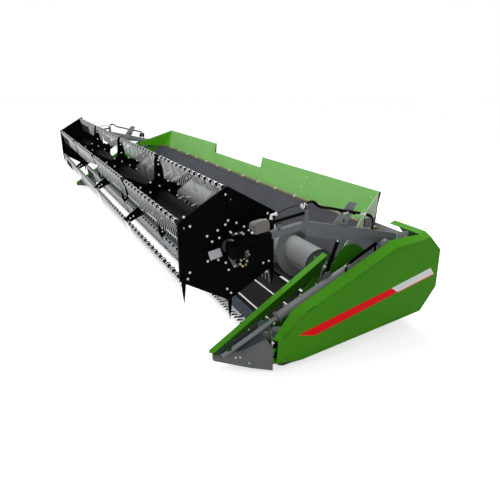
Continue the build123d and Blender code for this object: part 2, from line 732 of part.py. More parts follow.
def reel_tube():
    tube = pipe((-PLATE_X, REEL_Y, REEL_Z), (PLATE_X, REEL_Y, REEL_Z), REEL_TUBE_R, REEL_TUBE_R - 6)
    for side in (-1, 1):
        start = ((PLATE_X - 20) * side, REEL_Y, REEL_Z)
        tube += rod(start, (PLATE_X * side, REEL_Y, REEL_Z), REEL_TUBE_R)
    return tube


def reel_stub():
    """The flanged shaft bolted to the outside of an end plate."""
    x = PLATE_X + PLATE_THICK
    stub = rod((x, REEL_Y, REEL_Z), (x + 8, REEL_Y, REEL_Z), 70)
    return stub + rod((x, REEL_Y, REEL_Z), (ARM_X + BEARING_DEEP - 2, REEL_Y, REEL_Z), REEL_SHAFT_R)


def reel_spider(x):
    """Six wide arms on a six-sided middle, round the centre tube."""
    thick = 4.0
    spider = rod((x - 20, REEL_Y, REEL_Z), (x + 20, REEL_Y, REEL_Z), REEL_TUBE_R + 14)
    spider += prism([vertex(SPIDER_HUB_R, turn) for turn in bat_turns()], x - thick / 2, x + thick / 2)
    for turn in bat_turns():
        arm = []
        for radius, half in ((60, 84), (PLATE_R - 70, 50), (PLATE_R - 12, 20)):
            arm.append((radius, half))
        outline = [(r, -h) for r, h in arm] + [(r, h) for r, h in reversed(arm)]
        angle = math.radians(90 + turn)
        cos, sin = math.cos(angle), math.sin(angle)
        points = [(REEL_Y + r * cos - s * sin, REEL_Z + r * sin + s * cos) for r, s in outline]
        spider += prism(points, x - thick / 2, x + thick / 2)
    spider -= rod((x - 30, REEL_Y, REEL_Z), (x + 30, REEL_Y, REEL_Z), REEL_TUBE_R + 0.1)
    return bore_bats(spider, x - 5, x + 5)


def tine_comb(x0, x1):
    """A strip with tines, hanging from a bat between two spiders; drawn at the bat's axis."""
    count = int((x1 - x0) // TINE_PITCH)
    margin = (x1 - x0 - (count - 1) * TINE_PITCH) / 2
    points = [(x0, 6), (x0, -14)]
    for i in range(count):
        x = x0 + margin + i * TINE_PITCH
        points += [(x - TINE_WIDE / 2, -14), (x - 2, -TINE_LEN), (x + 2, -TINE_LEN), (x + TINE_WIDE / 2, -14)]
    points += [(x1, -14), (x1, 6)]
    strip = extrude(make_face(Polyline(*points, close=True)), amount=TINE_WIDE)
    upright = Pos(0, BAT_TUBE_R - 2, 0) * Rot(90, 0, 0) * strip
    return Rot(TINE_LEAN, 0, 0) * upright


def end_finger(x):
    """The tapered black blade at a bat's outer end, drawn at the bat's axis."""
    outline = [(-16, 26), (16, 26), (24, -40), (12, -150), (0, -235), (-10, -150), (-20, -40)]
    return prism(outline, x, x + 8)


def reel_bat(turn):
    y, z = vertex(BAT_R, turn)
    end = PLATE_X + PLATE_THICK + 12
    bat = rod((-end, 0, 0), (end, 0, 0), BAT_TUBE_R)
    stations = [-PLATE_X] + SPIDER_X + [PLATE_X]
    for left, right in zip(stations, stations[1:]):
        bat += tine_comb(left + 35, right - 35)
    bat += end_finger(end - 8)
    bat += end_finger(-end)
    crank = prism(crank_outline(), -end - 8, -end)
    pin = rod((-end, RING_SHIFT_Y, RING_SHIFT_Z), (-RING_X - RING_THICK, RING_SHIFT_Y, RING_SHIFT_Z), 9)
    return Pos(0, y, z) * (bat + crank + pin)


def crank_outline():
    """A short lever from the bat's axis to its pin, as an eight-sided outline."""
    length = math.hypot(RING_SHIFT_Y, RING_SHIFT_Z)
    along_y, along_z = RING_SHIFT_Y / length, RING_SHIFT_Z / length
    points = []
    end = length + 14
    for a, b in ((-19, 8), (-8, 19), (length, 16), (end, 8), (end, -8), (length, -16), (-8, -19), (-19, -8)):
        points.append((a * along_y - b * along_z, a * along_z + b * along_y))
    return points


def ring_centre():
    return REEL_Y + RING_SHIFT_Y, REEL_Z + RING_SHIFT_Z


def eccentric_ring():
    """A six-armed star that keeps the bats' cranks, and so their tines, pointing one way."""
    cy, cz = ring_centre()
    x0, x1 = -RING_X - RING_THICK, -RING_X
    star = rod((x0, cy, cz), (x1, cy, cz), RING_HUB_R + 26)
    for turn in bat_turns():
        angle = math.radians(90 + turn)
        cos, sin = math.cos(angle), math.sin(angle)
        outline = []
        for r, s in ((70, -26), (BAT_R, -15), (BAT_R + 16, -8), (BAT_R + 16, 8), (BAT_R, 15), (70, 26)):
            outline.append((cy + r * cos - s * sin, cz + r * sin + s * cos))
        star += prism(outline, x0, x1)
    for turn in bat_turns():
        y, z = vertex(BAT_R, turn)
        y, z = y + RING_SHIFT_Y, z + RING_SHIFT_Z
        star -= rod((x0 - 1, y, z), (x1 + 1, y, z), 9 + RUN)
    return star - rod((x0 - 1, cy, cz), (x1 + 1, cy, cz), RING_HUB_R + RUN)


# Reel arms and carriages


def slide_point(distance):
    """A point on the line that the carriage slides along, measured from the arm's front end."""
    length = math.dist(ARM_FRONT, ARM_BEND)
    share = distance / length
    return tuple(a + (b - a) * share for a, b in zip(ARM_FRONT, ARM_BEND))


def slide_bar(start, end, wide, x_mid):
    """A square bar along the slide line between two distances."""
    (y0, z0), (y1, z1) = slide_point(start), slide_point(end)
    half = wide / 2
    cos = (y1 - y0) / math.dist((y0, z0), (y1, z1))
    sin = (z1 - z0) / math.dist((y0, z0), (y1, z1))
    outline = [
        (y0 + half * sin, z0 - half * cos), (y1 + half * sin, z1 - half * cos),
        (y1 - half * sin, z1 + half * cos), (y0 - half * sin, z0 + half * cos),
    ]
    return prism(outline, x_mid - half, x_mid + half)


def slide_outline(pairs):
    """Side points from (distance along the slide line, height above it) pairs."""
    points = []
    for distance, height in pairs:
        y, z = slide_point(distance)
        points.append((y, z + height))
    return points


def cylinder_line(distance):
    """The axis of the fore-aft cylinder, above the slide line and parallel to it."""
    y, z = slide_point(distance)
    return y, z + CYL_RISE


def folded_arm():
    """The rear part of an arm: a deep box under a crown with leaning sides."""
    half, crest = ARM_WIDE / 2, ARM_CREST / 2
    (y0, z0), (y1, z1) = ARM_FOLD
    fold = Vector(0, y1 - y0, z1 - z0)
    section = Plane(origin=(ARM_X, y0, z0), x_dir=(-1, 0, 0), z_dir=fold)
    crown = [(-half, -4), (-half, 0), (-crest, ARM_CROWN), (crest, ARM_CROWN), (half, 0), (half, -4)]
    arm = extrude(section * make_face(Polyline(*crown, close=True)), amount=fold.length)
    belly = [
        (y0 + 2, z0), (y0 + 52, z0 - 90), (y0 + 244, z0 - 148), (y0 + 576, z0 - 215), (y0 + 924, z0 - 262),
        (y1 - 40, z1 - 4), (y1, z1),
    ]
    y, z = ARM_PIVOT
    rear = [
        (y1 - 40, z1 - 4), (y1 - 40, z1 + 9), (y1 - 30, z1 + 66), (y - 40, z + 62), (y + 34, z + 40),
        (y + 52, z), (y + 30, z - 44), (y - 60, z - 44),
    ]
    return arm + prism(belly, ARM_X - half, ARM_X + half) + prism(rear, ARM_X - half, ARM_X + half)


def cylinder_bracket():
    """The block on top of an arm that holds the rear end of the fore-aft cylinder."""
    y = ARM_BEND[0] + 10
    block = slab(ARM_X - ARM_WIDE / 2, ARM_X + 25, y, y + BRACKET_DEEP, ARM_FOLD[0][1] - 5, BRACKET_TOP)
    return block - rod((ARM_X, *cylinder_line(CYL_FRONT)), (ARM_X, *cylinder_line(CYL_END + 90)), CYL_R + RUN)


def reel_arm():
    """A square tube that the carriage slides in, ahead of the folded arm that runs to the pivot."""
    length = math.dist(ARM_FRONT, ARM_BEND)
    half = ARM_WIDE / 2
    arm = slide_bar(0, length + 14, SLIDE_WIDE, ARM_X) + folded_arm() + cylinder_bracket()
    arm -= slide_bar(-10, length - 4, SLIDE_WIDE - 2 * ARM_WALL, ARM_X)
    arm -= rod((ARM_X - 80, *ARM_PIVOT), (ARM_X + 80, *ARM_PIVOT), ARM_PIN_R + RUN)
    y, z = LIFT_HEAD
    arm -= slab(ARM_X - 22, ARM_X + 22, y - 70, y + 70, z - 60, z + 60)
    arm += rod((ARM_X - half, y, z), (ARM_X + half, y, z), LIFT_PIN_R)
    cheek = [(y - 50, z + 60), (y - 30, z - 32), (y + 30, z - 32), (y + 50, z + 60)]
    return arm + prism(cheek, ARM_X + 24, ARM_X + 36) + prism(cheek, ARM_X - 36, ARM_X - 24)


def fore_aft_cylinder():
    front = (ARM_X, *cylinder_line(CYL_FRONT))
    barrel = rod(front, (ARM_X, *cylinder_line(CYL_END)), CYL_R)
    return barrel - rod(front, (ARM_X, *cylinder_line(CYL_END - 30)), ROD_R + CLEAR)


def hose_post():
    """The leaning plate on the inner side of the arm that carries the hoses."""
    x = ARM_X - ARM_WIDE / 2
    outline = [(770, 1235), (795, 1306), (985, 1528), (1085, 1502), (965, 1275), (930, 1200)]
    post = prism(outline, x - 9, x - 0.01)
    return post - rod((x - 20, 935, 1330), (x + 5, 935, 1330), 16)


HOSE_POINTS = [
    # (y, z) along the arm, from the top of the cylinder's bracket to the rear of the arm
    (436, BRACKET_TOP + CLEAR), (436, 1566), (521, 1583), (604, 1510), (733, 1484), (867, 1448), (986, 1418),
    (1140, 1383), (1270, 1342), (1296, 1262), (1300, 1198.5),
]
HOSE_R = 8.0


def hose(x, lift):
    """A hose beside the arm; lift raises all of its points but the two ends."""
    last = len(HOSE_POINTS) - 1
    points = [(x, y, z + (lift if 0 < i < last else 0)) for i, (y, z) in enumerate(HOSE_POINTS)]
    radii = []
    for before, here, after in zip(points, points[1:], points[2:]):
        run_in, run_out = Vector(here) - Vector(before), Vector(after) - Vector(here)
        turn = math.radians(run_in.get_angle(run_out))
        radii.append(0.45 * min(run_in.length, run_out.length) / math.tan(turn / 2))
    path = FilletPolyline(*points, radius=radii)
    start = Plane(origin=path @ 0, z_dir=path % 0)
    return sweep(start * Circle(HOSE_R), path=path)


def arm_hoses():
    beside_post = ARM_X - ARM_WIDE / 2 + HOSE_R
    return [hose(beside_post, 0), hose(beside_post + 20, 14)]


def reel_carriage():
    """The bar that slides in the arm, with the bearing block of the reel at its front end."""
    inner = SLIDE_WIDE - 2 * ARM_WALL - 2 * CLEAR
    bar = slide_bar(-430, 345, inner, ARM_X)
    y, z = REEL_Y, REEL_Z
    block = slab(ARM_X - 115, ARM_X + 46, y - 62, y + 62, z - 62, z + 66)
    pedestal = prism(slide_outline([(-160, 10), (-160, CLEVIS_LOW), (-60, CLEVIS_LOW), (-60, 10)]),
                     ARM_X - 30, ARM_X + 30)
    shaft = rod((ARM_X - 200, y, z), (ARM_X + BEARING_DEEP, y, z), REEL_SHAFT_R + RUN)
    return bar + block + pedestal - shaft


def reel_carriage_right():
    """The right carriage also carries the round boss that the eccentric ring turns on."""
    carriage = mirror(reel_carriage(), about=Plane.YZ)
    cy, cz = ring_centre()
    boss = rod((-RING_X + 1, cy, cz), (-ARM_X + 100, cy, cz), RING_HUB_R)
    boss += rod((-RING_X - RING_THICK - ROOM, cy, cz), (-ARM_X + 100, cy, cz), RING_HUB_R + 20)
    shaft = rod((-RING_X + 5, REEL_Y, REEL_Z), (-ARM_X - BEARING_DEEP, REEL_Y, REEL_Z), REEL_SHAFT_R + RUN)
    return carriage + boss - shaft


def fore_aft_rod():
    """The clevis on the carriage, with the rod that runs into the fore-aft cylinder."""
    clevis = prism(slide_outline([
        (-213, 123), (-208, 160), (-190, 172), (-100, 174), (-44, 162), (-30, 120), (-27, 95),
        (-38, CLEVIS_LOW), (-180, CLEVIS_LOW),
    ]), ARM_X - 36, ARM_X + 36)
    return clevis + rod((ARM_X, *cylinder_line(-60)), (ARM_X, *cylinder_line(CYL_END - 42)), ROD_R)


def reel_motor():
    """The hydraulic motor and its skewed plate, below and behind the reel's bearing."""
    x = ARM_X - 115
    outline = [(-38, -84), (181, -45), (167, -184), (20, -202)]
    plate_part = prism([(REEL_Y + y, REEL_Z + z) for y, z in outline], x, x + 10)
    motor = rod((x + 9, REEL_Y + 78, REEL_Z - 128), (x + 80, REEL_Y + 78, REEL_Z - 128), 50)
    return plate_part + motor + slab(x, x + 60, REEL_Y - 30, REEL_Y + 60, REEL_Z - 110, REEL_Z - 62.0)


# Lift cylinders


def lift_barrel():
    x = ARM_X
    foot = (x, *LIFT_FOOT)
    head = (x, *along(LIFT_FOOT, LIFT_HEAD, LIFT_BARREL))
    barrel = rod((x, *along(LIFT_FOOT, LIFT_HEAD, 22)), head, LIFT_R)
    barrel -= rod((x, *along(LIFT_FOOT, LIFT_HEAD, 34)), head, LIFT_ROD_R + CLEAR)
    eye = rod((x - LIFT_R, *LIFT_FOOT), (x + LIFT_R, *LIFT_FOOT), 30)
    return (barrel + eye) - rod((x - 40, *LIFT_FOOT), (x + 40, *LIFT_FOOT), LIFT_PIN_R + RUN)


def lift_rod():
    x = ARM_X
    start = along(LIFT_FOOT, LIFT_HEAD, 85)
    end = along(LIFT_FOOT, LIFT_HEAD, math.dist(LIFT_FOOT, LIFT_HEAD) - LIFT_EYE + 6)
    bar = rod((x, *start), (x, *end), LIFT_ROD_R)
    eye = rod((x - 12, *LIFT_HEAD), (x + 12, *LIFT_HEAD), LIFT_EYE)
    return (bar + eye) - rod((x - 20, *LIFT_HEAD), (x + 20, *LIFT_HEAD), LIFT_PIN_R + LIFT_SLACK)


def lift_bracket():
    """Two cheeks and the pin at the foot of a lift cylinder, on the side beam and the end wall."""
    y, z = LIFT_FOOT
    x = ARM_X
    gap = LIFT_R + ROOM - 1
    cheek = [(y - 60, z - 90), (y - 34, z + 26), (y + 34, z + 26), (y + 60, z - 90)]
    bracket = prism(cheek, RAIL_OUTER, x - gap) + prism(cheek, x + gap, x + gap + 10)
    bracket += slab(TABLE_HALF + WALL, x + gap + 10, y - 60, y + 60, z - 100, z - 88)
    return bracket + rod((x - gap - 4, y, z), (x + gap + 4, y, z), LIFT_PIN_R) - side_beam()


def drive_shaft():
    """The cross shaft behind the table that takes the power to the left side."""
    posts = LOW_BEAM_Y + LOW_BEAM_DEEP
    y, z = posts + 42, 560.0
    start = OPENING_HALF + 120
    shaft = rod((start, y, z), (TABLE_HALF + 60, y, z), SHAFT_R)
    for x in POST_X[1:]:
        shaft += slab(x - 12, x + 12, posts, y + 34, z - 34, z + 34)
    stand = start + SHAFT_PIN
    return shaft + slab(stand, stand + 16, posts, y + 34, LOW_BEAM_Z + 20, z + 34)


def build():
    save("knife_guards", knife_guards())
    save("knife_beam", knife_beam())
    save("knife", knife())
    save("feed_belts", *feed_belts())
    save("belt_rollers", *belt_rollers())
    save("table_ribs", *table_ribs())
    save("auger_trough", auger_trough())
    save("back_wall", back_wall())
    save("auger_tube", auger_tube())
    save("auger_flights", *both_sides(auger_flight()))
    save("auger_fingers", *auger_fingers())
    save("rear_frame", rear_frame())
    save("coupling_frame", coupling_frame())
    save("skid_shoes", *skid_shoes())
    notch = NOTCH_HALF
    high = [(PANEL_HALF, BEAM_TOP), (PANEL_HALF, PANEL_TOP), (notch + 12, PANEL_TOP), (notch, BEAM_TOP)]
    save_pair("rear_panel", rear_panel(high))
    notch -= 1
    low = [(notch, BEAM_TOP), (notch, NOTCH_TOP), (-notch, NOTCH_TOP), (-notch, BEAM_TOP)]
    save("rear_panel_centre", rear_panel(low))
    save_pair("panel_wing", panel_wing())
    save("panel_brackets", *panel_brackets())
    save("hydraulic_pipes", *hydraulic_pipes())
    save_pair("end_wall", end_wall())
    save_pair("divider_rail", divider_rail())
    save_pair("side_beam", side_beam())
    save("arm_brackets", *both_sides(arm_bracket()))
    save_pair("nose_fender", nose_fender())
    save("knife_drives", *both_sides(knife_drive()))
    save("cover_struts", *both_sides(cover_strut()))
    save_pair("side_cover", side_cover())
    save("reel_end_plates", *both_sides(reel_end_plate()))
    save("reel_tube", reel_tube())
    save("reel_stubs", *both_sides(reel_stub()))
    save("reel_spiders", *[reel_spider(x) for x in SPIDER_X])
    for i, turn in enumerate(bat_turns(), start=1):
        save("reel_bat_%d" % i, reel_bat(turn))
    save("eccentric_ring", eccentric_ring())
    save_pair("reel_arm", reel_arm())
    save("fore_aft_cylinders", *both_sides(fore_aft_cylinder()))
    save("hose_posts", *both_sides(hose_post()))
    left_hoses, right_hoses = arm_hoses(), [mirror(piece, about=Plane.YZ) for piece in arm_hoses()]
    save("arm_hoses", *left_hoses, *right_hoses)
    save("reel_carriage_left", reel_carriage())
    save("reel_carriage_right", reel_carriage_right())
    save("fore_aft_rods", *both_sides(fore_aft_rod()))
    save("reel_motor", reel_motor())
    save("lift_barrels", *both_sides(lift_barrel()))
    save("lift_rods", *both_sides(lift_rod()))
    save("lift_brackets", *both_sides(lift_bracket()))
    save("drive_shaft", drive_shaft())


os.makedirs("parts", exist_ok=True)
build()
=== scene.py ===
import math

import bpy
from mathutils import Matrix, Vector


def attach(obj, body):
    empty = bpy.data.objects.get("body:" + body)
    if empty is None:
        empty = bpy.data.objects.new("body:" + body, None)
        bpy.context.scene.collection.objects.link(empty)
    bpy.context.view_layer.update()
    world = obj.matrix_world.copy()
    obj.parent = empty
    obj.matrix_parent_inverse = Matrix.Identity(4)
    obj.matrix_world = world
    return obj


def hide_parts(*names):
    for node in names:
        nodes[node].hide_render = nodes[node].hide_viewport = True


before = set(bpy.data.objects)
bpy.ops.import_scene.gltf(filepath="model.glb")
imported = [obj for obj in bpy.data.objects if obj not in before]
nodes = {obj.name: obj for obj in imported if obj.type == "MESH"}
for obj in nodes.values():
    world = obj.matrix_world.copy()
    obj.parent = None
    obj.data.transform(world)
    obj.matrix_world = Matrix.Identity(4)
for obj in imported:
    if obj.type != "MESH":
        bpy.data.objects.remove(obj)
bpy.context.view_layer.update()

# Places are in millimetres: x across, d behind the tips of the knife guards, z up. KNIFE is the place
# of the tips along the CAD model's Y. Only the materials, the camera, the floor and the lights use
# metres.
KNIFE = -596.5177
REEL_D, REEL_Z = -309.0, 1205.0
BAT_R, BAT_TUBE_R = 545.0, 19.0
PLATE_X, PLATE_THICK, PLATE_R = 4480.0, 6.0, 575.0
RAIL_X = 4637.0              # outer face of a divider rail
COVER_X, COVER_EDGE_X = 4995.0, 4903.0
AUGER_D, AUGER_Z, AUGER_R, AUGER_HALF = 1050.0, 630.0, 185.0, 4060.0
BEAM_TOP = 1025.0            # top of the rear frame's upper beam


def metres(point):
    """A place in the CAD model, in metres, from one given in millimetres."""
    return Vector((point[0] / 1000, (point[1] + KNIFE) / 1000, point[2] / 1000))


def curve(points, steps=6):
    """A smooth path through the points."""
    points = [Vector(p) for p in points]
    ends = [points[0] * 2 - points[1]] + points + [points[-1] * 2 - points[-2]]
    path = []
    for a, b, c, d in zip(ends, ends[1:], ends[2:], ends[3:]):
        for i in range(steps):
            t = i / steps
            bend = (a * 2 - b * 5 + c * 4 - d) * t * t + (b * 3 - a - c * 3 + d) * t ** 3
            path.append((b * 2 + (c - a) * t + bend) * 0.5)
    return path + [points[-1]]


def turned_point(d, z, radius, turn):
    """The (d, z) point at a radius and a turn in degrees from a centre; 0 is to the rear, 90 is up."""
    angle = math.radians(turn)
    return d + radius * math.cos(angle), z + radius * math.sin(angle)


class Shape:
    """The points and faces of one piece, in millimetres."""

    def __init__(self):
        self.points = []
        self.faces = []
        self.slots = []
        self.slot = 0

    def add(self, points, faces):
        first = len(self.points)
        self.points += [Vector(p) for p in points]
        for face in faces:
            self.faces.append([first + i for i in face])
            self.slots.append(self.slot)

    def drawn(self, outline, shift):
        """A flat outline of points, drawn out by a vector."""
        count = len(outline)
        outline = [Vector(p) for p in outline]
        points = outline + [p + Vector(shift) for p in outline]
        faces = [list(range(count))[::-1], list(range(count, 2 * count))]
        faces += [[i, (i + 1) % count, (i + 1) % count + count, i + count] for i in range(count)]
        self.add(points, faces)

    def prism(self, outline, x0, x1):
        """A side outline of (d, z) points between two places across."""
        self.drawn([(x0, d, z) for d, z in outline], (x1 - x0, 0, 0))

    def block(self, x0, x1, d0, d1, z0, z1):
        """A box between two places in each direction."""
        self.prism([(d0, z0), (d1, z0), (d1, z1), (d0, z1)], x0, x1)

    def tube(self, path, radius, sides=12):
        """A round bar along a path; radius is one number or one for each point."""
        path = [Vector(p) for p in path]
        radii = radius if isinstance(radius, (list, tuple)) else [radius] * len(path)
        first = (path[1] - path[0]).normalized()
        across = first.orthogonal().normalized()
        points, faces = [], []
        for i, here in enumerate(path):
            before = path[max(i - 1, 0)]
            after = path[min(i + 1, len(path) - 1)]
            along = (after - before).normalized()
            across = (across - along * across.dot(along)).normalized()
            up = along.cross(across)
            for k in range(sides):
                turn = 2 * math.pi * k / sides
                points.append(here + (across * math.cos(turn) + up * math.sin(turn)) * radii[i])
        for i in range(len(path) - 1):
            for k in range(sides):
                a, b = i * sides + k, i * sides + (k + 1) % sides
                faces.append([a, b, b + sides, a + sides])
        faces.append(list(range(sides))[::-1])
        last = (len(path) - 1) * sides
        faces.append(list(range(last, last + sides)))
        self.add(points, faces)

    def turned(self, base, axis, profile, sides=24):
        """A turned part: profile is (distance along the axis, radius) from base."""
        axis = Vector(axis).normalized()
        self.tube([Vector(base) + axis * s for s, _ in profile], [max(r, 0.01) for _, r in profile], sides)

    def plate(self, corners, thick):
        """A flat plate on three or more corners, thickened along its own normal."""
        a, b, c = (Vector(p) for p in corners[:3])
        self.drawn(corners, (b - a).cross(c - a).normalized() * thick)

    def mirror(self):
        """Add the mirror image of all that is drawn so far, on the header's other side."""
        count = len(self.points)
        self.points += [Vector((-p.x, p.y, p.z)) for p in self.points]
        self.faces += [[count + i for i in reversed(face)] for face in self.faces]
        self.slots += list(self.slots)

    def flip(self):
        """Turn it into its own mirror image."""
        self.points = [Vector((-p.x, p.y, p.z)) for p in self.points]
        self.faces = [list(reversed(face)) for face in self.faces]

    def bolt(self, place, axis, size, washer=True):
        """A hexagon head of a size across its flats, with a washer, standing on a face."""
        axis = Vector(axis).normalized()
        place = Vector(place) - axis * 0.5
        if washer:
            self.turned(place, axis, [(0, size * 0.72), (size * 0.14, size * 0.72)], 14)
        head = [(0, size * 0.57), (size * 0.5, size * 0.57), (size * 0.58, size * 0.46)]
        self.turned(place, axis, head, 6)

def piece(name, shape, body, materials, bevel=0.0, smooth=35):
    """Make the piece, in metres, and let it ride on its body."""
    mesh = bpy.data.meshes.new(name)
    mesh.from_pydata([metres(p) for p in shape.points], [], shape.faces)
    for material in materials:
        mesh.materials.append(material)
    for polygon, index in zip(mesh.polygons, shape.slots):
        polygon.material_index = index
    mesh.validate()
    mesh.update()
    for polygon in mesh.polygons:
        polygon.use_smooth = True
    mesh.set_sharp_from_angle(angle=math.radians(smooth))
    obj = bpy.data.objects.new(name, mesh)
    bpy.context.scene.collection.objects.link(obj)
    if bevel:
        modifier = obj.modifiers.new("edges", "BEVEL")
        modifier.width = bevel / 1000
        modifier.segments = 2
        modifier.limit_method = "ANGLE"
        modifier.angle_limit = math.radians(40)
    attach(obj, body)
    return obj


# Materials


class Nodes:
    """Short calls for building one material's node tree."""

    def __init__(self, name):
        self.material = bpy.data.materials.new(name)
        self.material.use_nodes = True
        self.tree = self.material.node_tree
        self.shader = self.tree.nodes["Principled BSDF"]
        self.coords = self.tree.nodes.new("ShaderNodeTexCoord").outputs["Object"]

    def node(self, kind, inputs=(), **settings):
        made = self.tree.nodes.new("ShaderNode" + kind)
        for key, value in settings.items():
            setattr(made, key, value)
        for key, value in dict(inputs).items():
            self.put(made.inputs[key], value)
        return made

    def put(self, socket, value):
        if isinstance(value, bpy.types.NodeSocket):
            self.tree.links.new(value, socket)
        elif hasattr(socket.default_value, "__len__") and len(socket.default_value) == 4:
            socket.default_value = (*value, 1) if len(value) == 3 else value
        else:
            socket.default_value = value

    def noise(self, scale, detail=4.0, rough=0.55, stretch=(1, 1, 1)):
        mapped = self.node("Mapping", {"Vector": self.coords, "Scale": stretch})
        inputs = {"Vector": mapped.outputs[0], "Scale": scale, "Detail": detail, "Roughness": rough}
        return self.node("TexNoise", inputs).outputs["Fac"]

    def span(self, value, low, high, to_low=0.0, to_high=1.0):
        inputs = {"Value": value, "From Min": low, "From Max": high, "To Min": to_low, "To Max": to_high}
        return self.node("MapRange", inputs).outputs["Result"]

    def math(self, operation, a, b=0.0, c=0.0):
        made = self.node("Math", operation=operation)
        for socket, value in zip(made.inputs, (a, b, c)):
            self.put(socket, value)
        return made.outputs[0]

    def mix(self, factor, a, b):
        made = self.node("Mix", data_type="RGBA")
        self.put(made.inputs["Factor"], factor)
        self.put([s for s in made.inputs if s.name == "A" and s.type == "RGBA"][0], a)
        self.put([s for s in made.inputs if s.name == "B" and s.type == "RGBA"][0], b)
        return [s for s in made.outputs if s.type == "RGBA"][0]

    def bump(self, height, strength, distance):
        made = self.node("Bump", {"Height": height, "Strength": strength, "Distance": distance})
        self.put(self.shader.inputs["Normal"], made.outputs[0])

    def shade(self, **values):
        names = {
            "color": "Base Color", "metal": "Metallic", "rough": "Roughness",
            "spec": "Specular IOR Level",
        }
        for key, value in values.items():
            self.put(self.shader.inputs[names[key]], value)


DUST = (0.30, 0.26, 0.20)


def finish_of(name, color, rough=0.4, vary=0.1, patch=2.5, metal=0.0, grain=0.0, dust=0.06,
              grain_scale=400.0, stretch=(1, 1, 1), spec=0.3, over=()):
    """A painted, moulded or metal surface with patches, dust near the ground and a fine grain.

    over is a list of (mask, color) pairs laid on top, where a mask is a function of the node tree.
    """
    made = Nodes(name)
    broad = made.noise(patch)
    fine = made.noise(patch * 14, 6.0, 0.65, stretch)
    dark = [c * (1 - vary) for c in color]
    light = [min(1.0, c * (1 + vary)) for c in color]
    tone = made.mix(made.span(broad, 0.3, 0.7), dark, light)
    height = made.node("SeparateXYZ", {"Vector": made.coords}).outputs["Z"]
    low = made.span(height, 1.0, 0.05, 0.25, 1.0)
    film = made.math("MULTIPLY", made.span(fine, 0.45, 0.8), low)
    tone = made.mix(made.math("MULTIPLY", film, dust), tone, DUST)
    for mask, other in over:
        tone = made.mix(mask(made), tone, other)
    made.shade(color=tone, metal=metal, spec=spec)
    made.shade(rough=made.span(fine, 0.25, 0.75, max(rough - 0.07, 0.03), rough + 0.07))
    if grain:
        made.bump(made.noise(grain_scale, 2.0, 0.5, stretch), 0.35, grain / 1000)
    return made.material


def outward_reflection(made):
    """1 on the faces that look away from the middle of the header, which take a painted whitish
    reflection.
    """
    x = made.node("SeparateXYZ", {"Vector": made.coords}).outputs["X"]
    normal = made.node("NewGeometry").outputs["True Normal"]
    turned_to = made.node("SeparateXYZ", {"Vector": normal}).outputs["X"]
    return made.math("GREATER_THAN", made.math("MULTIPLY", x, turned_to), 0.0)


def shaded_rail_face(made):
    """1 on the outer face of a divider rail, which gets a darker green as painted shade."""
    x = made.node("SeparateXYZ", {"Vector": made.coords}).outputs["X"]
    return made.math("GREATER_THAN", made.math("ABSOLUTE", x), (RAIL_X - 0.4) / 1000)


def on_cover(made):
    """Node outputs for d and z in metres, and 1 on the flat face of a side cover."""
    place = made.node("SeparateXYZ", {"Vector": made.coords})
    d = made.math("SUBTRACT", place.outputs["Y"], KNIFE / 1000)
    across = made.math("ABSOLUTE", place.outputs["X"])
    return d, place.outputs["Z"], made.math("GREATER_THAN", across, (COVER_X - 1.5) / 1000)


def inside_of(corners):
    """A mask of a cover's flat face inside the convex (d, z) outline, in metres."""
    def mask(made):
        d, z, product = on_cover(made)
        for (d0, z0), (d1, z1) in zip(corners, corners[1:] + corners[:1]):
            across = made.math("MULTIPLY", made.math("SUBTRACT", z, z0), d1 - d0)
            drop = made.math("MULTIPLY", made.math("SUBTRACT", d, d0), z1 - z0)
            inside = made.math("GREATER_THAN", made.math("SUBTRACT", across, drop), 0.0)
            product = made.math("MULTIPLY", product, inside)
        return product
    return mask


def line_of(start, end, width):
    """A mask of a straight line on a cover's flat face."""
    run = math.hypot(end[0] - start[0], end[1] - start[1])
    a, b = -(end[1] - start[1]) / run * width / 2, (end[0] - start[0]) / run * width / 2
    return inside_of([(start[0] - a, start[1] - b), (end[0] - a, end[1] - b),
                      (end[0] + a, end[1] + b), (start[0] + a, start[1] + b)])


def dot_of(d0, z0, radius):
    """A mask of a round spot on a cover's flat face."""
    def mask(made):
        d, z, face = on_cover(made)
        across = made.math("POWER", made.math("SUBTRACT", d, d0), 2.0)
        high = made.math("POWER", made.math("SUBTRACT", z, z0), 2.0)
        near = made.math("LESS_THAN", made.math("ADD", across, high), radius * radius)
        return made.math("MULTIPLY", face, near)
    return mask


GREEN_TONE = (0.062, 0.30, 0.006)
# Painted shade: a dark green for the rails' outer faces and the covers' slits, and a lighter one for the
# covers' folds and latch.
SHADE_GREEN, FOLD_SHADE_GREEN = (0.018, 0.085, 0.004), (0.04, 0.20, 0.005)
RED, SILVER = (0.98, 0.004, 0.012), (0.92, 0.92, 0.91)
FOLD_WIDTH, SLIT_WIDTH = 0.007, 0.010


def cover_marks():
    """The covers' printed stripe, and painted shade on their folds, slits and round latch, as (mask,
    color) pairs, with places in metres.
    """
    stripe = [
        ([(0.386, 0.311), (1.425, 0.575), (1.333, 0.637), (0.190, 0.366)], RED),
        ([(1.425, 0.565), (1.935, 0.684), (1.927, 0.694), (1.425, 0.575)], RED),
        ([(1.425, 0.575), (1.927, 0.694), (1.867, 0.773), (1.333, 0.637)], SILVER),
    ]
    top_fold = [(0.022, 0.338), (0.212, 0.540), (1.360, 1.062), (1.738, 1.090)]
    low_fold = [(0.040, 0.130), (0.288, 0.108), (1.770, 0.296), (1.958, 0.548)]
    slits = [((0.014, 0.371), (0.085, 0.429)), ((0.277, 0.594), (0.381, 0.642))]
    marks = [(inside_of(corners), color) for corners, color in stripe]
    # The folds, the slits and the latch are dark lines and a dark spot of painted shade.
    for fold in (top_fold, low_fold):
        marks += [(line_of(a, b, FOLD_WIDTH), FOLD_SHADE_GREEN) for a, b in zip(fold, fold[1:])]
    marks += [(line_of(a, b, SLIT_WIDTH), SHADE_GREEN) for a, b in slits]
    marks += [(dot_of(1.425, 0.520, 0.012), FOLD_SHADE_GREEN)]
    return marks


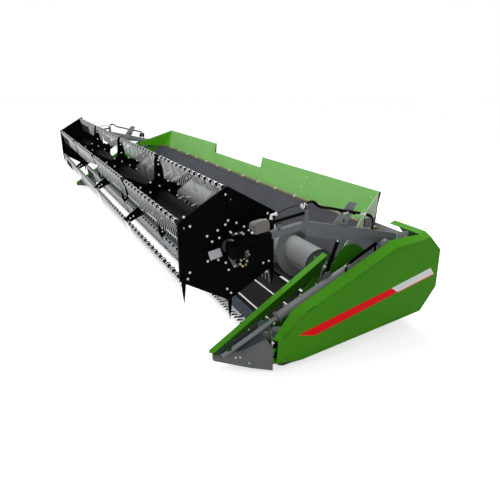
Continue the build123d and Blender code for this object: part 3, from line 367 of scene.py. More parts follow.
GREEN = {"vary": 0.05, "grain": 0.06, "grain_scale": 120, "spec": 0.1}
GRAY = {"rough": 0.5, "grain": 0.06}
MOULDED = {"rough": 0.5, "grain": 0.12, "grain_scale": 260, "spec": 0.2}
# Painted shade: a darker copy of the green paint for the end walls, the covers' inner ribs and stays, and
# the rear panels' top folds and dark lines.
dark_green = finish_of("shaded_green", (0.045, 0.235, 0.006), rough=0.45, vary=0.08, grain=0.06,
                       grain_scale=120, spec=0.08)
# Painted sheen: a paler copy of the green paint for the rear panels, for the sky's sheen they catch at a
# slant.
panel_green = finish_of("panel_green", (0.28, 0.66, 0.18), rough=0.5, vary=0.04, grain=0.05,
                        grain_scale=120, spec=0.1)
# The wings' outward faces carry a painted whitish reflection.
wing_green = finish_of("wing_green", (0.085, 0.44, 0.006), rough=0.5, vary=0.04, spec=0.1,
                       over=[(outward_reflection, (0.62, 0.80, 0.55))])
# The rails' outer faces carry painted shade.
rail_green = finish_of("rail_green", GREEN_TONE, rough=0.42, over=[(shaded_rail_face, SHADE_GREEN)], **GREEN)
# The covers carry a printed stripe and the painted shade of their folds, slits and latch.
cover_green = finish_of("cover_green", GREEN_TONE, rough=0.40, over=cover_marks(), **GREEN)
black = finish_of("black_enamel", (0.0015, 0.0015, 0.002), rough=0.45, vary=0.2, dust=0.01,
                  grain=0.05, spec=0.04)
gray = finish_of("gray_enamel", (0.165, 0.175, 0.183), vary=0.07, spec=0.15, **GRAY)
light_gray = finish_of("light_gray_enamel", (0.27, 0.28, 0.28), vary=0.07, spec=0.2, **GRAY)
dark_gray = finish_of("dark_gray_enamel", (0.065, 0.07, 0.08), vary=0.12, spec=0.15, **GRAY)
pale_gray = finish_of("pale_gray_enamel", (0.52, 0.53, 0.55), vary=0.06, spec=0.2, **GRAY)
clevis_gray = finish_of("clevis_gray", (0.215, 0.20, 0.175), vary=0.06, spec=0.2, **GRAY)
plastic = finish_of("gray_plastic", (0.155, 0.165, 0.163), vary=0.04, **MOULDED)
# Slate for the link strip and closing sheets, and for the plates of painted shade in the noses' recesses.
slate_and_shade = finish_of("slate_plastic", (0.045, 0.06, 0.068), vary=0.06, **MOULDED)
steel = finish_of("bare_steel", (0.52, 0.53, 0.54), rough=0.32, vary=0.1, metal=1.0, grain=0.05,
                  stretch=(0.05, 1, 1))
zinc = finish_of("zinc_plated", (0.95, 0.95, 0.93), rough=0.35, vary=0.03, dust=0.02)
chrome = finish_of("chrome_plate", (0.75, 0.76, 0.77), rough=0.1, vary=0.02, metal=1.0, dust=0.0)
brass = finish_of("brass_fitting", (0.80, 0.68, 0.36), rough=0.3, vary=0.06, metal=0.3, dust=0.02)
rubber = finish_of("hose_rubber", (0.004, 0.004, 0.004), rough=0.6, vary=0.15, grain=0.1,
                   grain_scale=500, spec=0.08)
gold = finish_of("gold_pipe", (0.30, 0.23, 0.11), rough=0.4, vary=0.1, metal=0.4)
shield = finish_of("shield_sheet", (0.12, 0.115, 0.10), rough=0.5, vary=0.15, patch=5, grain=0.08,
                   spec=0.1)
spring = finish_of("spring_steel", (0.80, 0.81, 0.80), rough=0.3, vary=0.1, metal=0.3, dust=0.02)
blue_gray = finish_of("front_sheet", (0.055, 0.072, 0.09), rough=0.4, vary=0.08, grain=0.06,
                      spec=0.15)
skid_dark = finish_of("skid_plastic", (0.025, 0.022, 0.035), rough=0.5, vary=0.1, spec=0.1)
yellow = finish_of("marked_hose", (0.55, 0.55, 0.05), rough=0.5, vary=0.05)
# Dark seams, joints and rims, and the painted shade of holes in the arms.
seam_and_shade = finish_of("seam_line", (0.03, 0.03, 0.03), rough=0.7, vary=0.1, spec=0.05)


RIB_PITCH = 0.011            # in metres
# What stands above SLAT_FLOOR is a slat; that height, in metres, is taken where the belts' upper run
# starts, at BELT_START behind the tips, and climbs with the run
BELT_START, SLAT_FLOOR, BELT_CLIMB = 0.190, 0.208, 0.1393


def belt_rubber():
    """Black belt with fine ribs across its run and scuffed patches, and its white slats."""
    made = Nodes("belt_rubber")
    place = made.node("SeparateXYZ", {"Vector": made.coords})
    d = made.math("SUBTRACT", place.outputs["Y"], KNIFE / 1000)
    rib = made.math("SINE", made.math("MULTIPLY", place.outputs["Y"], 2 * math.pi / RIB_PITCH))
    patch = made.noise(6.0, 6.0, 0.6, (0.4, 1, 1))
    tone = made.mix(made.span(patch, 0.35, 0.75), (0.008, 0.008, 0.008), (0.014, 0.014, 0.014))
    tone = made.mix(made.span(rib, 0.2, 1.0, 0.0, 0.3), tone, (0.025, 0.025, 0.025))
    behind = made.math("SUBTRACT", d, BELT_START)
    run = made.math("MULTIPLY_ADD", behind, BELT_CLIMB, SLAT_FLOOR)
    slat = made.math("GREATER_THAN", made.math("SUBTRACT", place.outputs["Z"], run), 0.0)
    tone = made.mix(slat, tone, (0.86, 0.85, 0.83))
    made.shade(color=tone, rough=made.span(patch, 0.3, 0.7, 0.5, 0.68), spec=0.05)
    made.bump(made.math("MULTIPLY", rib, made.math("SUBTRACT", 1.0, slat)), 0.4, 0.0012)
    return made.material


belt = belt_rubber()


NODE_FINISH = {
    "knife_guards": black, "knife_beam": blue_gray, "knife": steel, "knife_drives": gray,
    "feed_belts": belt, "belt_rollers": steel, "table_ribs": black, "auger_trough": dark_gray,
    "back_wall": dark_gray, "auger_tube": light_gray, "auger_flights": light_gray,
    "auger_fingers": steel, "rear_frame": gray, "coupling_frame": gray, "skid_shoes": black,
    "rear_panel_centre": panel_green, "panel_brackets": gray, "hydraulic_pipes": steel,
    "arm_brackets": gray, "cover_struts": black, "lift_brackets": gray, "drive_shaft": black,
    "fore_aft_cylinders": black, "fore_aft_rods": clevis_gray, "hose_posts": light_gray,
    "arm_hoses": rubber, "reel_motor": gray, "reel_tube": black, "reel_end_plates": black,
    "reel_stubs": steel, "reel_spiders": black, "eccentric_ring": black, "lift_barrels": black,
    "lift_rods": chrome,
}
PAIR_FINISH = {
    # The end walls take the green darkened as painted shade.
    "rear_panel": panel_green, "panel_wing": wing_green, "end_wall": dark_green,
    "divider_rail": rail_green, "side_beam": light_gray, "nose_fender": plastic, "reel_arm": gray,
    "reel_carriage": black, "side_cover": cover_green,
}
for name, material in PAIR_FINISH.items():
    for side in ("_left", "_right"):
        NODE_FINISH[name + side] = material
for i in range(1, 7):
    NODE_FINISH["reel_bat_%d" % i] = black
for name, obj in nodes.items():
    obj.data.materials.clear()
    obj.data.materials.append(NODE_FINISH[name])


# Camera, floor and lights


EYE = (8.470, -2.679, 2.710)
YAW, PITCH, ROLL = math.radians(63.42), math.radians(19.59), math.radians(0.118)
SENSOR = 36.0
PHOTO_WIDTH, FOCAL_LENGTH = 500, 481.6       # both in the photograph's pixels
SKY = 0.45
FLOOR_HALF = 60.0


def make_camera():
    """The camera as it was solved from the photograph's straight edges."""
    data = bpy.data.cameras.new("camera")
    data.sensor_width = SENSOR
    data.lens = SENSOR * FOCAL_LENGTH / PHOTO_WIDTH
    data.shift_x = 0.002
    data.clip_end = 200
    camera = bpy.data.objects.new("camera", data)
    camera.location = EYE
    level = math.cos(PITCH)
    forward = Vector((-math.sin(YAW) * level, math.cos(YAW) * level, -math.sin(PITCH)))
    roll = Matrix.Rotation(ROLL, 3, "Z").to_quaternion()
    camera.rotation_mode = "QUATERNION"
    camera.rotation_quaternion = forward.to_track_quat("-Z", "Y") @ roll
    bpy.context.scene.collection.objects.link(camera)
    bpy.context.scene.camera = camera


def make_floor():
    """A light floor that takes shadows and glows to the camera, so that it melts into the backdrop."""
    half = FLOOR_HALF
    mesh = bpy.data.meshes.new("floor")
    corners = [(-half, -half, 0), (half, -half, 0), (half, half, 0), (-half, half, 0)]
    mesh.from_pydata(corners, [], [(0, 1, 2, 3)])
    floor = bpy.data.objects.new("floor", mesh)
    bpy.context.scene.collection.objects.link(floor)
    made = Nodes("floor")
    tree = made.tree
    made.shade(color=(0.80, 0.80, 0.80), rough=0.9, spec=0.0)
    glow = made.node("Emission", {"Color": (1, 1, 1), "Strength": 1.0 - 0.8 * SKY})
    both = made.node("AddShader")
    tree.links.new(made.shader.outputs[0], both.inputs[0])
    tree.links.new(glow.outputs[0], both.inputs[1])
    ray = made.node("LightPath")
    mixed = made.node("MixShader", {"Fac": ray.outputs["Is Camera Ray"]})
    tree.links.new(made.shader.outputs[0], mixed.inputs[1])
    tree.links.new(both.outputs[0], mixed.inputs[2])
    tree.links.new(mixed.outputs[0], tree.nodes["Material Output"].inputs["Surface"])
    mesh.materials.append(made.material)


def make_world():
    """Plain light from all round, and a white backdrop for the camera."""
    world = bpy.data.worlds.new("studio")
    bpy.context.scene.world = world
    world.use_nodes = True
    tree = world.node_tree
    plain = tree.nodes["Background"]
    plain.inputs["Color"].default_value = (0.96, 0.98, 1.0, 1)
    plain.inputs["Strength"].default_value = SKY
    white = tree.nodes.new("ShaderNodeBackground")
    white.inputs["Color"].default_value = (1, 1, 1, 1)
    white.inputs["Strength"].default_value = 1.0
    ray = tree.nodes.new("ShaderNodeLightPath")
    seen = tree.nodes.new("ShaderNodeMath")
    seen.operation = "MAXIMUM"
    tree.links.new(ray.outputs["Is Camera Ray"], seen.inputs[0])
    tree.links.new(ray.outputs["Is Transmission Ray"], seen.inputs[1])
    mixed = tree.nodes.new("ShaderNodeMixShader")
    tree.links.new(seen.outputs[0], mixed.inputs[0])
    tree.links.new(plain.outputs[0], mixed.inputs[1])
    tree.links.new(white.outputs[0], mixed.inputs[2])
    tree.links.new(mixed.outputs[0], tree.nodes["World Output"].inputs["Surface"])


def make_lamp(name, place, target, size, power):
    """A round area light that points at the target."""
    data = bpy.data.lights.new(name, "AREA")
    data.shape = "DISK"
    data.size = size
    data.energy = power
    lamp = bpy.data.objects.new(name, data)
    lamp.location = place
    lamp.rotation_mode = "QUATERNION"
    lamp.rotation_quaternion = (Vector(target) - Vector(place)).to_track_quat("-Z", "Y")
    bpy.context.scene.collection.objects.link(lamp)


make_camera()
make_floor()
make_world()
make_lamp("overhead", (-1, 1, 10), (0, 0, 0), 9, 950)
make_lamp("front", (9, -9, 6), (1, 0, 0.8), 6, 220)
bpy.context.scene.view_settings.view_transform = "Standard"


# Reel


SPIDER_X = [-2240.0, 0.0, 2240.0]
SPIDER_FACE = 6.0            # from a spider's middle to the face with its bolts
STATIONS = [-PLATE_X] + SPIDER_X + [PLATE_X]
BAT_END = PLATE_X + 18
TINE_PITCH, TINE_LEN, TINE_LEAN = 150.0, 255.0, math.radians(10)
TINE_GAP = 35.0              # least room between a plate or spider and a tine's clip
CLIP_HALF, CLIP_REACH = 11.0, 24.0
LEG_SPREAD = 37.5            # from the middle of a clip to each of its tine's two legs
LEG_TOP, LEG_BOW = 4.0, 16.0
WIRE_R = 3.3
COIL_TURNS, COIL_STEPS, COIL_PITCH = 4.5, 8, 6.6
# A bat's end blade as (d, z) from the bat's middle, and the pin of its lever the same way
BLADE = [(-16, 26), (16, 26), (24, -40), (12, -150), (0, -235), (-10, -150), (-20, -40)]
BLADE_THICK = 8.0
LEVER_PIN, LEVER_PIN_R, LEVER_PIN_X = (45.0, 30.0), 9.0, -4528.0


def reel_point(radius, turn):
    """The (d, z) point at a radius and a turn in degrees from the reel's centre."""
    return turned_point(REEL_D, REEL_Z, radius, turn)


def bat_place(index):
    """The (d, z) place of a bat's middle."""
    return reel_point(BAT_R, 90 + index * 60)


def tine(shape, x, d, z, hand):
    """One leg of a spring tine: turns of wire round the bat, then a lightly bowed leg."""
    coil = BAT_TUBE_R + WIRE_R + 0.2
    path = []
    for i in range(int(COIL_TURNS * COIL_STEPS) + 1):
        left = COIL_TURNS - i / COIL_STEPS
        turn = 2 * math.pi * left
        across = x - hand * COIL_PITCH * left
        path.append((across, d - coil * math.cos(turn), z - coil * math.sin(turn)))
    shape.tube(path, WIRE_R, 5)
    leg = []
    for i in range(8):
        share = i / 7
        down = LEG_TOP + (TINE_LEN - LEG_TOP) * share
        bow = LEG_BOW * math.sin(math.pi * share) - coil * (1 - share)
        leg.append((
            x,
            d + down * math.sin(TINE_LEAN) + bow * math.cos(TINE_LEAN),
            z - down * math.cos(TINE_LEAN) + bow * math.sin(TINE_LEAN),
        ))
    shape.tube(leg, [WIRE_R] * 6 + [WIRE_R * 0.9, WIRE_R * 0.6], 5)


def tine_places():
    """Places across of the tines' clips, evenly spaced in each bay of the reel."""
    places = []
    for left, right in zip(STATIONS, STATIONS[1:]):
        x0, x1 = left + TINE_GAP, right - TINE_GAP
        count = int((x1 - x0) // TINE_PITCH)
        margin = (x1 - x0 - (count - 1) * TINE_PITCH) / 2
        places += [x0 + margin + i * TINE_PITCH for i in range(count)]
    return places


def lever(d, z):
    """The outline of the lever that leads from a bat to its pin on the eccentric ring."""
    reach = math.hypot(*LEVER_PIN)
    cos, sin = LEVER_PIN[0] / reach, LEVER_PIN[1] / reach
    upper = [(-19, 8), (-8, 19), (reach, 16), (reach + 14, 8)]
    lower = [(a, -b) for a, b in reversed(upper)]
    return [(d + a * cos - b * sin, z + a * sin + b * cos) for a, b in upper + lower]


def make_bat(index):
    """One bat with its clips, end blades, lever and spring tines, in place of the CAD bat."""
    d, z = bat_place(index)
    top = z + BAT_TUBE_R
    bar = Shape()
    bar.tube([(-BAT_END, d, z), (BAT_END, d, z)], BAT_TUBE_R, 20)
    for x in tine_places():
        bar.block(x - CLIP_HALF, x + CLIP_HALF, d - CLIP_REACH, d + CLIP_REACH, top - 6, top + 3)
        bar.block(x - CLIP_HALF, x + CLIP_HALF, d + 16, d + CLIP_REACH, z - 22, top)
        bar.bolt((x, d, top + 3), (0, 0, 1), 11, False)
    for x in (-BAT_END, BAT_END):
        bar.prism([(d + a, z + b) for a, b in BLADE], x, x + BLADE_THICK)
    bar.prism(lever(d, z), -BAT_END - 8, -BAT_END)
    pin = (d + LEVER_PIN[0], z + LEVER_PIN[1])
    bar.tube([(-BAT_END, *pin), (LEVER_PIN_X, *pin)], LEVER_PIN_R, 12)
    bar.slot = 1
    for x in tine_places():
        for hand in (-1, 1):
            tine(bar, x + hand * LEG_SPREAD, d, z, hand)
    name = "bat_%d" % (index + 1)
    made = piece(name, bar, name, [black, spring])
    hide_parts("reel_" + name)


# Reel trim


BOLT = 17.0                  # across the flats of the common bolts
# More bolts of an end plate, most of them at its bearing, as (d, z) from the reel's centre
PLATE_BOLTS = [
    (-29, 212), (86, 214), (166, 168), (158, 95), (-108, 167), (-93, 90), (-167, 64), (20, 134),
    (49, 103), (-108, -128), (-31, -170), (-435, 336), (420, -344),
]
# Bolts of one arm of a spider, as (radius, turn)
SPIDER_BOLTS = [(300, 30), (440, 30), (490, 30), (240, 0), (150, 30)]
RIM_DEPTH = 22.0
RIDGE_R, RIDGE_GAP = 111.0, 12.0
BAND_R, BAND_WIDE, BAND_GAP = 118.0, 14.0, 130.0


def plate_bolts():
    """Two bolts near each corner of an end plate, one further in, and the others."""
    places = []
    for corner in range(6):
        for radius, turn in ((450, -2.5), (500, 2.5), (250, 0)):
            places.append(reel_point(radius, 30 + corner * 60 + turn))
    return places + [(REEL_D + d, REEL_Z + z) for d, z in PLATE_BOLTS]


def reel_trim():
    """Bolts and rims of the end plates, bolts of the spiders, ridges and bands of the reel's tube."""
    shape = Shape()
    for place in plate_bolts():
        shape.bolt((PLATE_X + PLATE_THICK, *place), (1, 0, 0), BOLT)
    for x in SPIDER_X:
        for arm in range(6):
            for radius, turn in SPIDER_BOLTS:
                place = reel_point(radius, arm * 60 + turn)
                shape.bolt((x + SPIDER_FACE, *place), (1, 0, 0), BOLT)
    shape.slot = 1
    for corner in range(6):
        turns = (30 + corner * 60, 90 + corner * 60)
        rim = [reel_point(PLATE_R - 1, turn) for turn in turns]
        rim += [reel_point(PLATE_R - 6, turn) for turn in reversed(turns)]
        for side in (-1, 1):
            shape.prism(rim, side * (PLATE_X - RIM_DEPTH), side * PLATE_X)
    for left, right in zip(STATIONS, STATIONS[1:]):
        for turn in range(0, 360, 30):
            place = reel_point(RIDGE_R, turn)
            shape.tube([(left + RIDGE_GAP, *place), (right - RIDGE_GAP, *place)], 4, 6)
        for x in (left + BAND_GAP, right - BAND_GAP):
            shape.turned((x, REEL_D, REEL_Z), (1, 0, 0), [(0, BAND_R), (BAND_WIDE, BAND_R)], 28)
    piece("reel_trim", shape, "reel", [zinc, black], smooth=30)


MOTOR_X, MOTOR_D, MOTOR_Z = 4637.0, -231.0, 1077.0
MOTOR_PLATE_X, SIDE_PLATE_X = 4567.0, 4545.0
FITTINGS_R = 36.0            # radius of the circle that the motor's fittings stand on
LINK_X, LINK_THICK = 4634.0, 6.0
CLEVIS_X, CLEVIS_PLATE = 4684.0, 6.0
SMALL_BOLT = BOLT * 0.8


def motor_trim():
    """The motor's sleeve, fittings, hoses and plate bolts, and the pale plate ahead of it."""
    shape = Shape()
    sleeve = [(0, 53), (72, 53), (80, 44), (80, 20), (74, 14)]
    shape.turned((MOTOR_X - 68, MOTOR_D, MOTOR_Z), (1, 0, 0), sleeve, 28)
    shape.slot = 3
    for turn in range(15, 360, 60):
        place = turned_point(MOTOR_D, MOTOR_Z, FITTINGS_R, turn)
        shape.turned((MOTOR_X + 10, *place), (1, 0, 0), [(0, 11), (12, 11), (12, 7), (22, 7)], 10)
    shape.slot = 1
    for d, z in ((-330, 1110), (-280, 1016), (-158, 1038), (-146, 1142)):
        shape.bolt((MOTOR_PLATE_X, d, z), (1, 0, 0), SMALL_BOLT)
    shape.slot = 2
    out = MOTOR_X + 30
    for turn in (75, 315):
        d, z = turned_point(MOTOR_D, MOTOR_Z, FITTINGS_R, turn)
        hose = [(out, d, z), (out + 16, d + 16, z + 10), (out, d + 60, z + 40)]
        hose.append((MOTOR_PLATE_X + 20, d + 84, z + 66))
        shape.tube(curve(hose), 7, 8)
    shape.slot = 4
    plate = [(-545, 1196), (-424, 1217), (-400, 1133), (-522, 1108)]
    shape.prism(plate, SIDE_PLATE_X, SIDE_PLATE_X + 6)
    piece("motor_trim", shape, "reel_carriage", [black, zinc, rubber, brass, pale_gray], bevel=1.5)


def link_strip():
    """The bolted strip above the motor."""
    shape = Shape()
    strip = [(-370, 1385), (-333, 1351), (-227, 1355), (-227, 1379), (-326, 1376), (-351, 1400)]
    shape.prism(strip, LINK_X, LINK_X + LINK_THICK)
    shape.slot = 1
    for d, z in ((-352, 1385), (-300, 1366), (-243, 1367)):
        shape.bolt((LINK_X + LINK_THICK, d, z), (1, 0, 0), SMALL_BOLT)
    piece("link_strip", shape, "reel_carriage", [slate_and_shade, zinc], bevel=1)


def clevis_trim():
    """Round fittings on the outer face of the clevises between the rods and the carriages."""
    shape = Shape()
    for d, z in ((-151, 1426), (-138, 1390), (-161, 1372)):
        place = (CLEVIS_X + CLEVIS_PLATE, d, z)
        shape.turned(place, (1, 0, 0), [(-4, 12), (14, 12), (18, 7)], 10)
    shape.mirror()
    piece("clevis_trim", shape, "reel_carriage", [zinc])


SHIELD_X = (-4440, -3440)
SHIELD_LOW, SHIELD_HIGH, SHIELD_THICK = -257.0, -100.0, 3.0
SHIELD_RIB_PITCH, SHIELD_RIB_WIDE, SHIELD_RIB_DEPTH = 38, 7, 4.0
HANGER_WIDE = 50


def bat_shield(index):
    """The ribbed sheet that hangs between the tines at the far end of a bat, on two hangers."""
    d, z = bat_place(index)
    x0, x1 = SHIELD_X
    lean = math.tan(TINE_LEAN)
    low, high = [(d - depth * lean, z + depth) for depth in (SHIELD_LOW, SHIELD_HIGH)]
    shape = Shape()
    back = [(high[0] + SHIELD_THICK, high[1]), (low[0] + SHIELD_THICK, low[1])]
    shape.prism([low, high] + back, x0, x1)
    shape.slot = 1
    rib = [(low[0] - SHIELD_RIB_DEPTH, low[1]), (high[0] - SHIELD_RIB_DEPTH, high[1]), high, low]
    for x in range(x0 + 30, x1, SHIELD_RIB_PITCH):
        shape.prism(rib, x, x + SHIELD_RIB_WIDE)
    hanger = [(d + 6, z), high, (high[0] + 4, high[1]), (d + 12, z)]
    for x in (x0 + 10, x1 - 10 - HANGER_WIDE):
        shape.prism(hanger, x, x + HANGER_WIDE)
    number = index + 1
    piece("bat_shield_%d" % number, shape, "bat_%d" % number, [shield, dark_gray])


# Arms and their hoses


ARM_INNER_X = 4616.0
POST_X, POST_PLATE = 4652.0, 5.0
ELBOW_R = 12.0
# Elbows at the ends of the cylinders and hoses, as (x, d, z) points
ELBOWS = [
    [(4672, 48, 1470), (4672, 52, 1507), (4672, 105, 1512)],
    [(4650, 390, 1564), (4650, 413, 1530), (4650, 445, 1568)],
    [(4664, 1120, 1391), (4664, 1175, 1378)],
]
LOOP_HOSE = [(4672, 105, 1512), (4668, 180, 1540), (4660, 300, 1562), (4652, 390, 1566)]
LOOP_HOSE_R = 4.5


def fitting(shape, path, radius):
    """A pipe elbow with a collar at each end."""
    path = curve(path, 4)
    shape.tube(path, radius, 10)
    for here, there in ((path[0], path[1]), (path[-1], path[-2])):
        axis = there - here
        collar = [(0, radius * 1.5), (radius, radius * 1.5)]
        shape.turned(here - axis.normalized() * 2, axis, collar, 6)


def arm_trim():
    """Elbows, hose ends, clips, plates and painted shade in holes on the two reel arms and their posts."""
    shape = Shape()
    for path in ELBOWS:
        fitting(shape, path, ELBOW_R)
    for d, z in ((927, 1413), (959, 1420)):
        shape.turned((4640, d, z), (0, 1, -0.2), [(-12, 13), (12, 13)], 10)
    shape.slot = 1
    shape.block(4660, CLEVIS_X, 108, 150, 1372, 1404)
    shape.turned((4664, 1180, 1376), (0, 1, -0.25), [(0, 15), (56, 15)], 14)
    for d in (1194, 1274):
        shape.block(4630, POST_X, d, d + 40, 1236, 1318)
    # Hose clips on the posts and on the top of the arm
    for d, z in ((880, 1446), (1040, 1406), (1230, 1360)):
        shape.block(4608, 4664, d - 9, d + 9, z - 16, z + 12)
    # Plates on the post and the clevis, and the cap at the front of the arm's folded part
    shape.slot = 2
    shape.block(POST_X, POST_X + POST_PLATE, 1192, 1322, 1226, 1326)
    clevis_plate = [(96, 1380), (160, 1380), (160, 1412), (110, 1412)]
    shape.prism(clevis_plate, CLEVIS_X, CLEVIS_X + CLEVIS_PLATE)
    shape.block(4632, 4712, 388, 400, 1300, 1352)
    # Dark round discs of painted shade in the holes on the arm's inner side
    shape.slot = 3
    shape.turned((ARM_INNER_X, 935, 1330), (-1, 0, 0), [(0, 24), (2, 24)], 20)
    shape.turned((ARM_INNER_X, 962, 1478), (-1, 0, 0), [(0, 14), (2, 14)], 16)
    shape.mirror()
    piece("arm_trim", shape, "reel_arms", [zinc, black, gray, seam_and_shade], bevel=1)


def arm_loops():
    """Short hoses from one end of each fore-aft cylinder to the other."""
    shape = Shape()
    shape.tube(curve(LOOP_HOSE, 8), LOOP_HOSE_R, 8)
    shape.mirror()
    piece("arm_loops", shape, "reel_arms", [rubber])


# Plates beside an arm's pivot and their bolts, as (d, z)
PIVOT_X, PIVOT_PLATE = 4740.0, 6.0
PIVOT_PLATES = [
    [(1576, 1153), (1560, 1060), (1631, 1010), (1699, 985), (1762, 1010), (1729, 1138)],
    [(1409, 1106), (1512, 1059), (1449, 934), (1386, 926), (1341, 1060)],
]
PIVOT_BOLTS = [
    (1701, 1081), (1745, 1020), (1699, 1000), (1634, 1045), (1410, 1080), (1480, 1052), (1420, 950),
]


def pivot_trim():
    """The plates beside the arms' pivots, with their bolts, ledges and round caps."""
    shape = Shape()
    face = PIVOT_X + PIVOT_PLATE
    for outline in PIVOT_PLATES:
        shape.prism(outline, PIVOT_X, face)
    shape.block(4700, face, 1400, 1440, 930, 936)
    shape.slot = 1
    for d, z in PIVOT_BOLTS:
        shape.bolt((face, d, z), (1, 0, 0), BOLT)
    shape.slot = 2
    shape.turned((face, 1735, 1035), (1, 0, 0), [(0, 30), (8, 30), (8, 20), (12, 20)], 20)
    shape.mirror()
    piece("pivot_trim", shape, "root", [pale_gray, zinc, gray], bevel=1.5)


# Dividers and side covers


RAIL_BOLTS = [(-166, 339), (41, 428), (245, 517), (430, 600), (620, 684)]
NOSE_STUDS = [(4784, -380, 152), (4804, -341, 157), (4850, -264, 96)]
# The recess of a nose, dark in the tube's shade, as (x, d, z) corners of its two plates of painted shade
RECESS_SHADE_PLATES = [
    [(4640, -300, 187), (4706, -340, 161), (4725, -252, 181), (4650, -252, 197)],
    [(4650, -252, 197), (4725, -252, 181), (4812, -66, 298), (4700, -66, 318)],
]
# The sheet that closes the space between a rail and its nose, as (d, z)
CLOSING_SHEET = [(-505, 136), (-252, 203), (-64, 328), (-64, 405), (-252, 300), (-505, 180)]
# Each hose beside a nose, as its lift and its material's slot
NOSE_HOSES = [(0, 3), (16, 4), (30, 3)]


def divider_trim():
    """Bolts, studs, collars, recesses of painted shade and closing sheets of the dividers, and the noses'
    hoses.
    """
    shape = Shape()
    for d, z in RAIL_BOLTS:
        shape.bolt((RAIL_X, d, z), (1, 0, 0), SMALL_BOLT)
    for place in NOSE_STUDS:
        shape.turned(place, (0.3, -0.3, 0.9), [(0, 9), (5, 8), (8, 4)], 12)
    shape.bolt((4759, 892, 881), (1, 0, 0), BOLT * 1.2)
    shape.slot = 1
    shape.turned((4690, 112, 440), (0, 0.91, 0.42), [(0, 54), (26, 54)], 28)
    shape.slot = 2
    for corners in RECESS_SHADE_PLATES:
        shape.plate(corners, 2)
    shape.prism(CLOSING_SHEET, RAIL_X + 1, RAIL_X + 4)
    for lift, slot in NOSE_HOSES:
        shape.slot = slot
        hose = [(4770, -30, 330 + lift), (4830, -50, 360 + lift), (4880, -60, 345 + lift)]
        shape.tube(curve(hose + [(4895, -66, 300)], 6), 6, 8)
    shape.mirror()
    piece("divider_trim", shape, "root", [zinc, gray, slate_and_shade, rubber, yellow], smooth=30)


COVER_BODY = {1: "cover_left", -1: "cover_right"}
# Ribs inside a cover, as (d, lower end, upper end)
COVER_RIBS = [(420, 170, 600), (800, 210, 780), (1200, 260, 960), (1600, 310, 1070)]
# The dark sheet on a cover's front wall, as (x, d, z) corners, and its bolts as (d, z)
FRONT_SHEET = [(4906, -46, 108), (4906, -42, 322), (4970, -19, 336), (4970, -33, 128)]
FRONT_BOLTS = [(-42, 199), (-44, 170), (-38, 300)]


def cover_trim(side):
    """Inner ribs, two stays, the foot's lip and the front sheet with bolts and latch of one cover."""
    shape = Shape()
    # The inner ribs and stays are in the green darkened as painted shade.
    for d, low, high in COVER_RIBS:
        shape.block(COVER_X - 24, COVER_X - 6, d - 9, d + 9, low, high)
    for x in (COVER_X - 60, COVER_X - 24):
        shape.tube([(x, 1990, 560), (x, 1990, 950)], 4, 8)
    shape.slot = 1
    shape.prism([(30, 66), (330, 92), (330, 84), (30, 58)], COVER_EDGE_X, COVER_X - 14)
    shape.slot = 2
    shape.plate(FRONT_SHEET, -2)
    shape.slot = 3
    for d, z in FRONT_BOLTS:
        shape.bolt((4922, d, z), (0.25, -1, 0), 15)
    shape.block(4908, 4918, -52, -44, 262, 318)
    if side < 0:
        shape.flip()
    body = COVER_BODY[side]
    piece("trim_" + body, shape, body, [dark_green, clevis_gray, black, zinc])


def skid_trim():
    """Dark skid sheets under the covers' front ends, on the fixed frame."""
    shape = Shape()
    shape.prism([(20, 28), (60, 6), (330, 4), (352, 30), (345, 44), (40, 44)], 4640, 4900)
    shape.mirror()
    piece("skid_trim", shape, "root", [skid_dark], bevel=3)


# Rear panels, table and auger


PANEL_D, PANEL_LEAN = 1812.0, 88 / 400       # a panel's face at the top of the beam, and its slope
# Studs of a side panel, as (x, z)
PANEL_STUDS = [(2487, 1332), (2391, 1171), (2284, 1044), (3936, 1331), (3862, 1161), (3785, 1060)]
# Each panel's top fold and the dark line of painted shade under it, as (first x, last x, z)
TOP_FOLDS = [(1040, 4020, 1423), (-4020, -1040, 1423), (-1025, 1025, 1248)]
TOP_LINES = [(1030, 4030, 1418), (-4030, -1030, 1418), (-1030, 1030, 1243)]
UPRIGHT_LINES = [-4030, -1042, 1030, 2600]


def on_panel(x, z, out=0.0):
    """A place on the front face of the rear panels, which lean back."""
    return x, PANEL_D + (z - BEAM_TOP) * PANEL_LEAN - out, z


def panel_strip(shape, x0, x1, z0, z1, out, depth):
    """A strip on the panels' face, standing out from it and so deep to the rear."""
    corners = [on_panel(x, z, out) for x, z in ((x0, z0), (x1, z0), (x1, z1), (x0, z1))]
    shape.drawn(corners, (0, depth, 0))


def panel_trim():
    """The rear panels' studs, top folds, dark lines and end seams; the top folds and the lines under them
    are painted shade.
    """
    shape = Shape()
    for side in (-1, 1):
        for x, z in PANEL_STUDS:
            stud = [(0, 13), (5, 12), (8, 6)]
            shape.turned(on_panel(side * x, z, -1), (0, -1, 0.2), stud, 12)
    shape.slot = 1
    for x0, x1, z in TOP_FOLDS:
        a, b = on_panel(x0, z), on_panel(x1, z)
        shape.drawn([a, b, (b[0], b[1] + 14, b[2] - 3), (a[0], a[1] + 14, a[2] - 3)], (0, -3, -9))
    for x0, x1, z in TOP_LINES:
        panel_strip(shape, x0, x1, z, z - 14, 1, -2)
    for x in UPRIGHT_LINES:
        panel_strip(shape, x, x + 12, 1040, 1415, 3, 3)
    shape.slot = 2
    for side in (-1, 1):
        panel_strip(shape, side * 4038, side * 4066, 1100, 1418, 2, 12)
    piece("panel_trim", shape, "root", [zinc, dark_green, seam_and_shade])


PIPE_HALF = 4350.0
# The pipes on the top beam, as (slot, d, height of the middle above the beam, radius)
PIPES = [(0, 1716, 12, 9), (0, 1744, 14, 9), (1, 1730, 11, 7)]


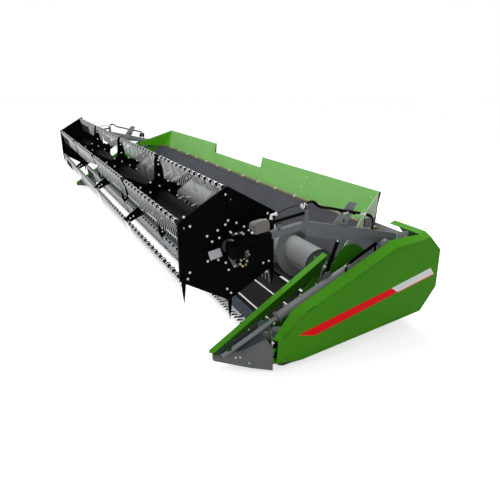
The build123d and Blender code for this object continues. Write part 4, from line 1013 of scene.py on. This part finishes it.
def pipe_trim():
    """The gold and black pipes beside the steel ones on the top beam, and their clips."""
    shape = Shape()
    for slot, d, lift, radius in PIPES:
        shape.slot = slot
        place = (d, BEAM_TOP + lift)
        shape.tube([(-PIPE_HALF, *place), (PIPE_HALF, *place)], radius, 8)
    shape.slot = 2
    for x in range(-4200, 4201, 600):
        shape.block(x - 14, x + 14, 1704, 1758, BEAM_TOP, BEAM_TOP + 25)
    piece("pipe_trim", shape, "root", [gold, rubber, zinc])


SEAM_START, AUGER_BOLTS_R = 640.0, 110.0


def auger_trim():
    """Seams along the tube on each side of its middle, and a dark rim and bolts at both its ends."""
    shape = Shape()
    for turn in (70, 190, 310):
        spot = turned_point(AUGER_D, AUGER_Z, AUGER_R, turn)
        for side in (-1, 1):
            shape.tube([(side * SEAM_START, *spot), (side * AUGER_HALF, *spot)], 3, 6)
    circle = [turned_point(AUGER_D, AUGER_Z, AUGER_R, turn) for turn in range(0, 361, 9)]
    for side in (-1, 1):
        shape.tube([(side * AUGER_HALF, *spot) for spot in circle], 4, 6)
    shape.slot = 1
    for side in (-1, 1):
        for turn in range(0, 360, 60):
            place = turned_point(AUGER_D, AUGER_Z, AUGER_BOLTS_R, turn)
            shape.bolt((side * (AUGER_HALF + 2), *place), (side, 0, 0), BOLT)
    piece("auger_trim", shape, "auger", [seam_and_shade, zinc])


GUARD_PITCH, GUARD_COUNT = 76.2, 118
GUARD_FOOT_D, GUARD_FOOT_Z = 88.0, 116.0
# A clip over the knife, as (d, z)
KNIFE_CLIP = [(52, 112), (96, 116), (96, 123), (52, 119)]


def knife_trim():
    """A bolt on each guard's foot, and clips over the knife."""
    shape = Shape()
    first = -(GUARD_COUNT - 1) * GUARD_PITCH / 2
    for i in range(GUARD_COUNT):
        place = (first + i * GUARD_PITCH, GUARD_FOOT_D, GUARD_FOOT_Z)
        shape.bolt(place, (0, 0, 1), 12, False)
    shape.slot = 1
    for i in range(2, GUARD_COUNT, 6):
        x = first + (i + 0.5) * GUARD_PITCH
        shape.prism(KNIFE_CLIP, x - 16, x + 16)
    piece("knife_trim", shape, "root", [zinc, black])


# All the pieces


for index in range(6):
    make_bat(index)
reel_trim()
motor_trim()
link_strip()
clevis_trim()
for index in range(6):
    bat_shield(index)
arm_trim()
arm_loops()
pivot_trim()
divider_trim()
for side in COVER_BODY:
    cover_trim(side)
skid_trim()
panel_trim()
pipe_trim()
auger_trim()
knife_trim()
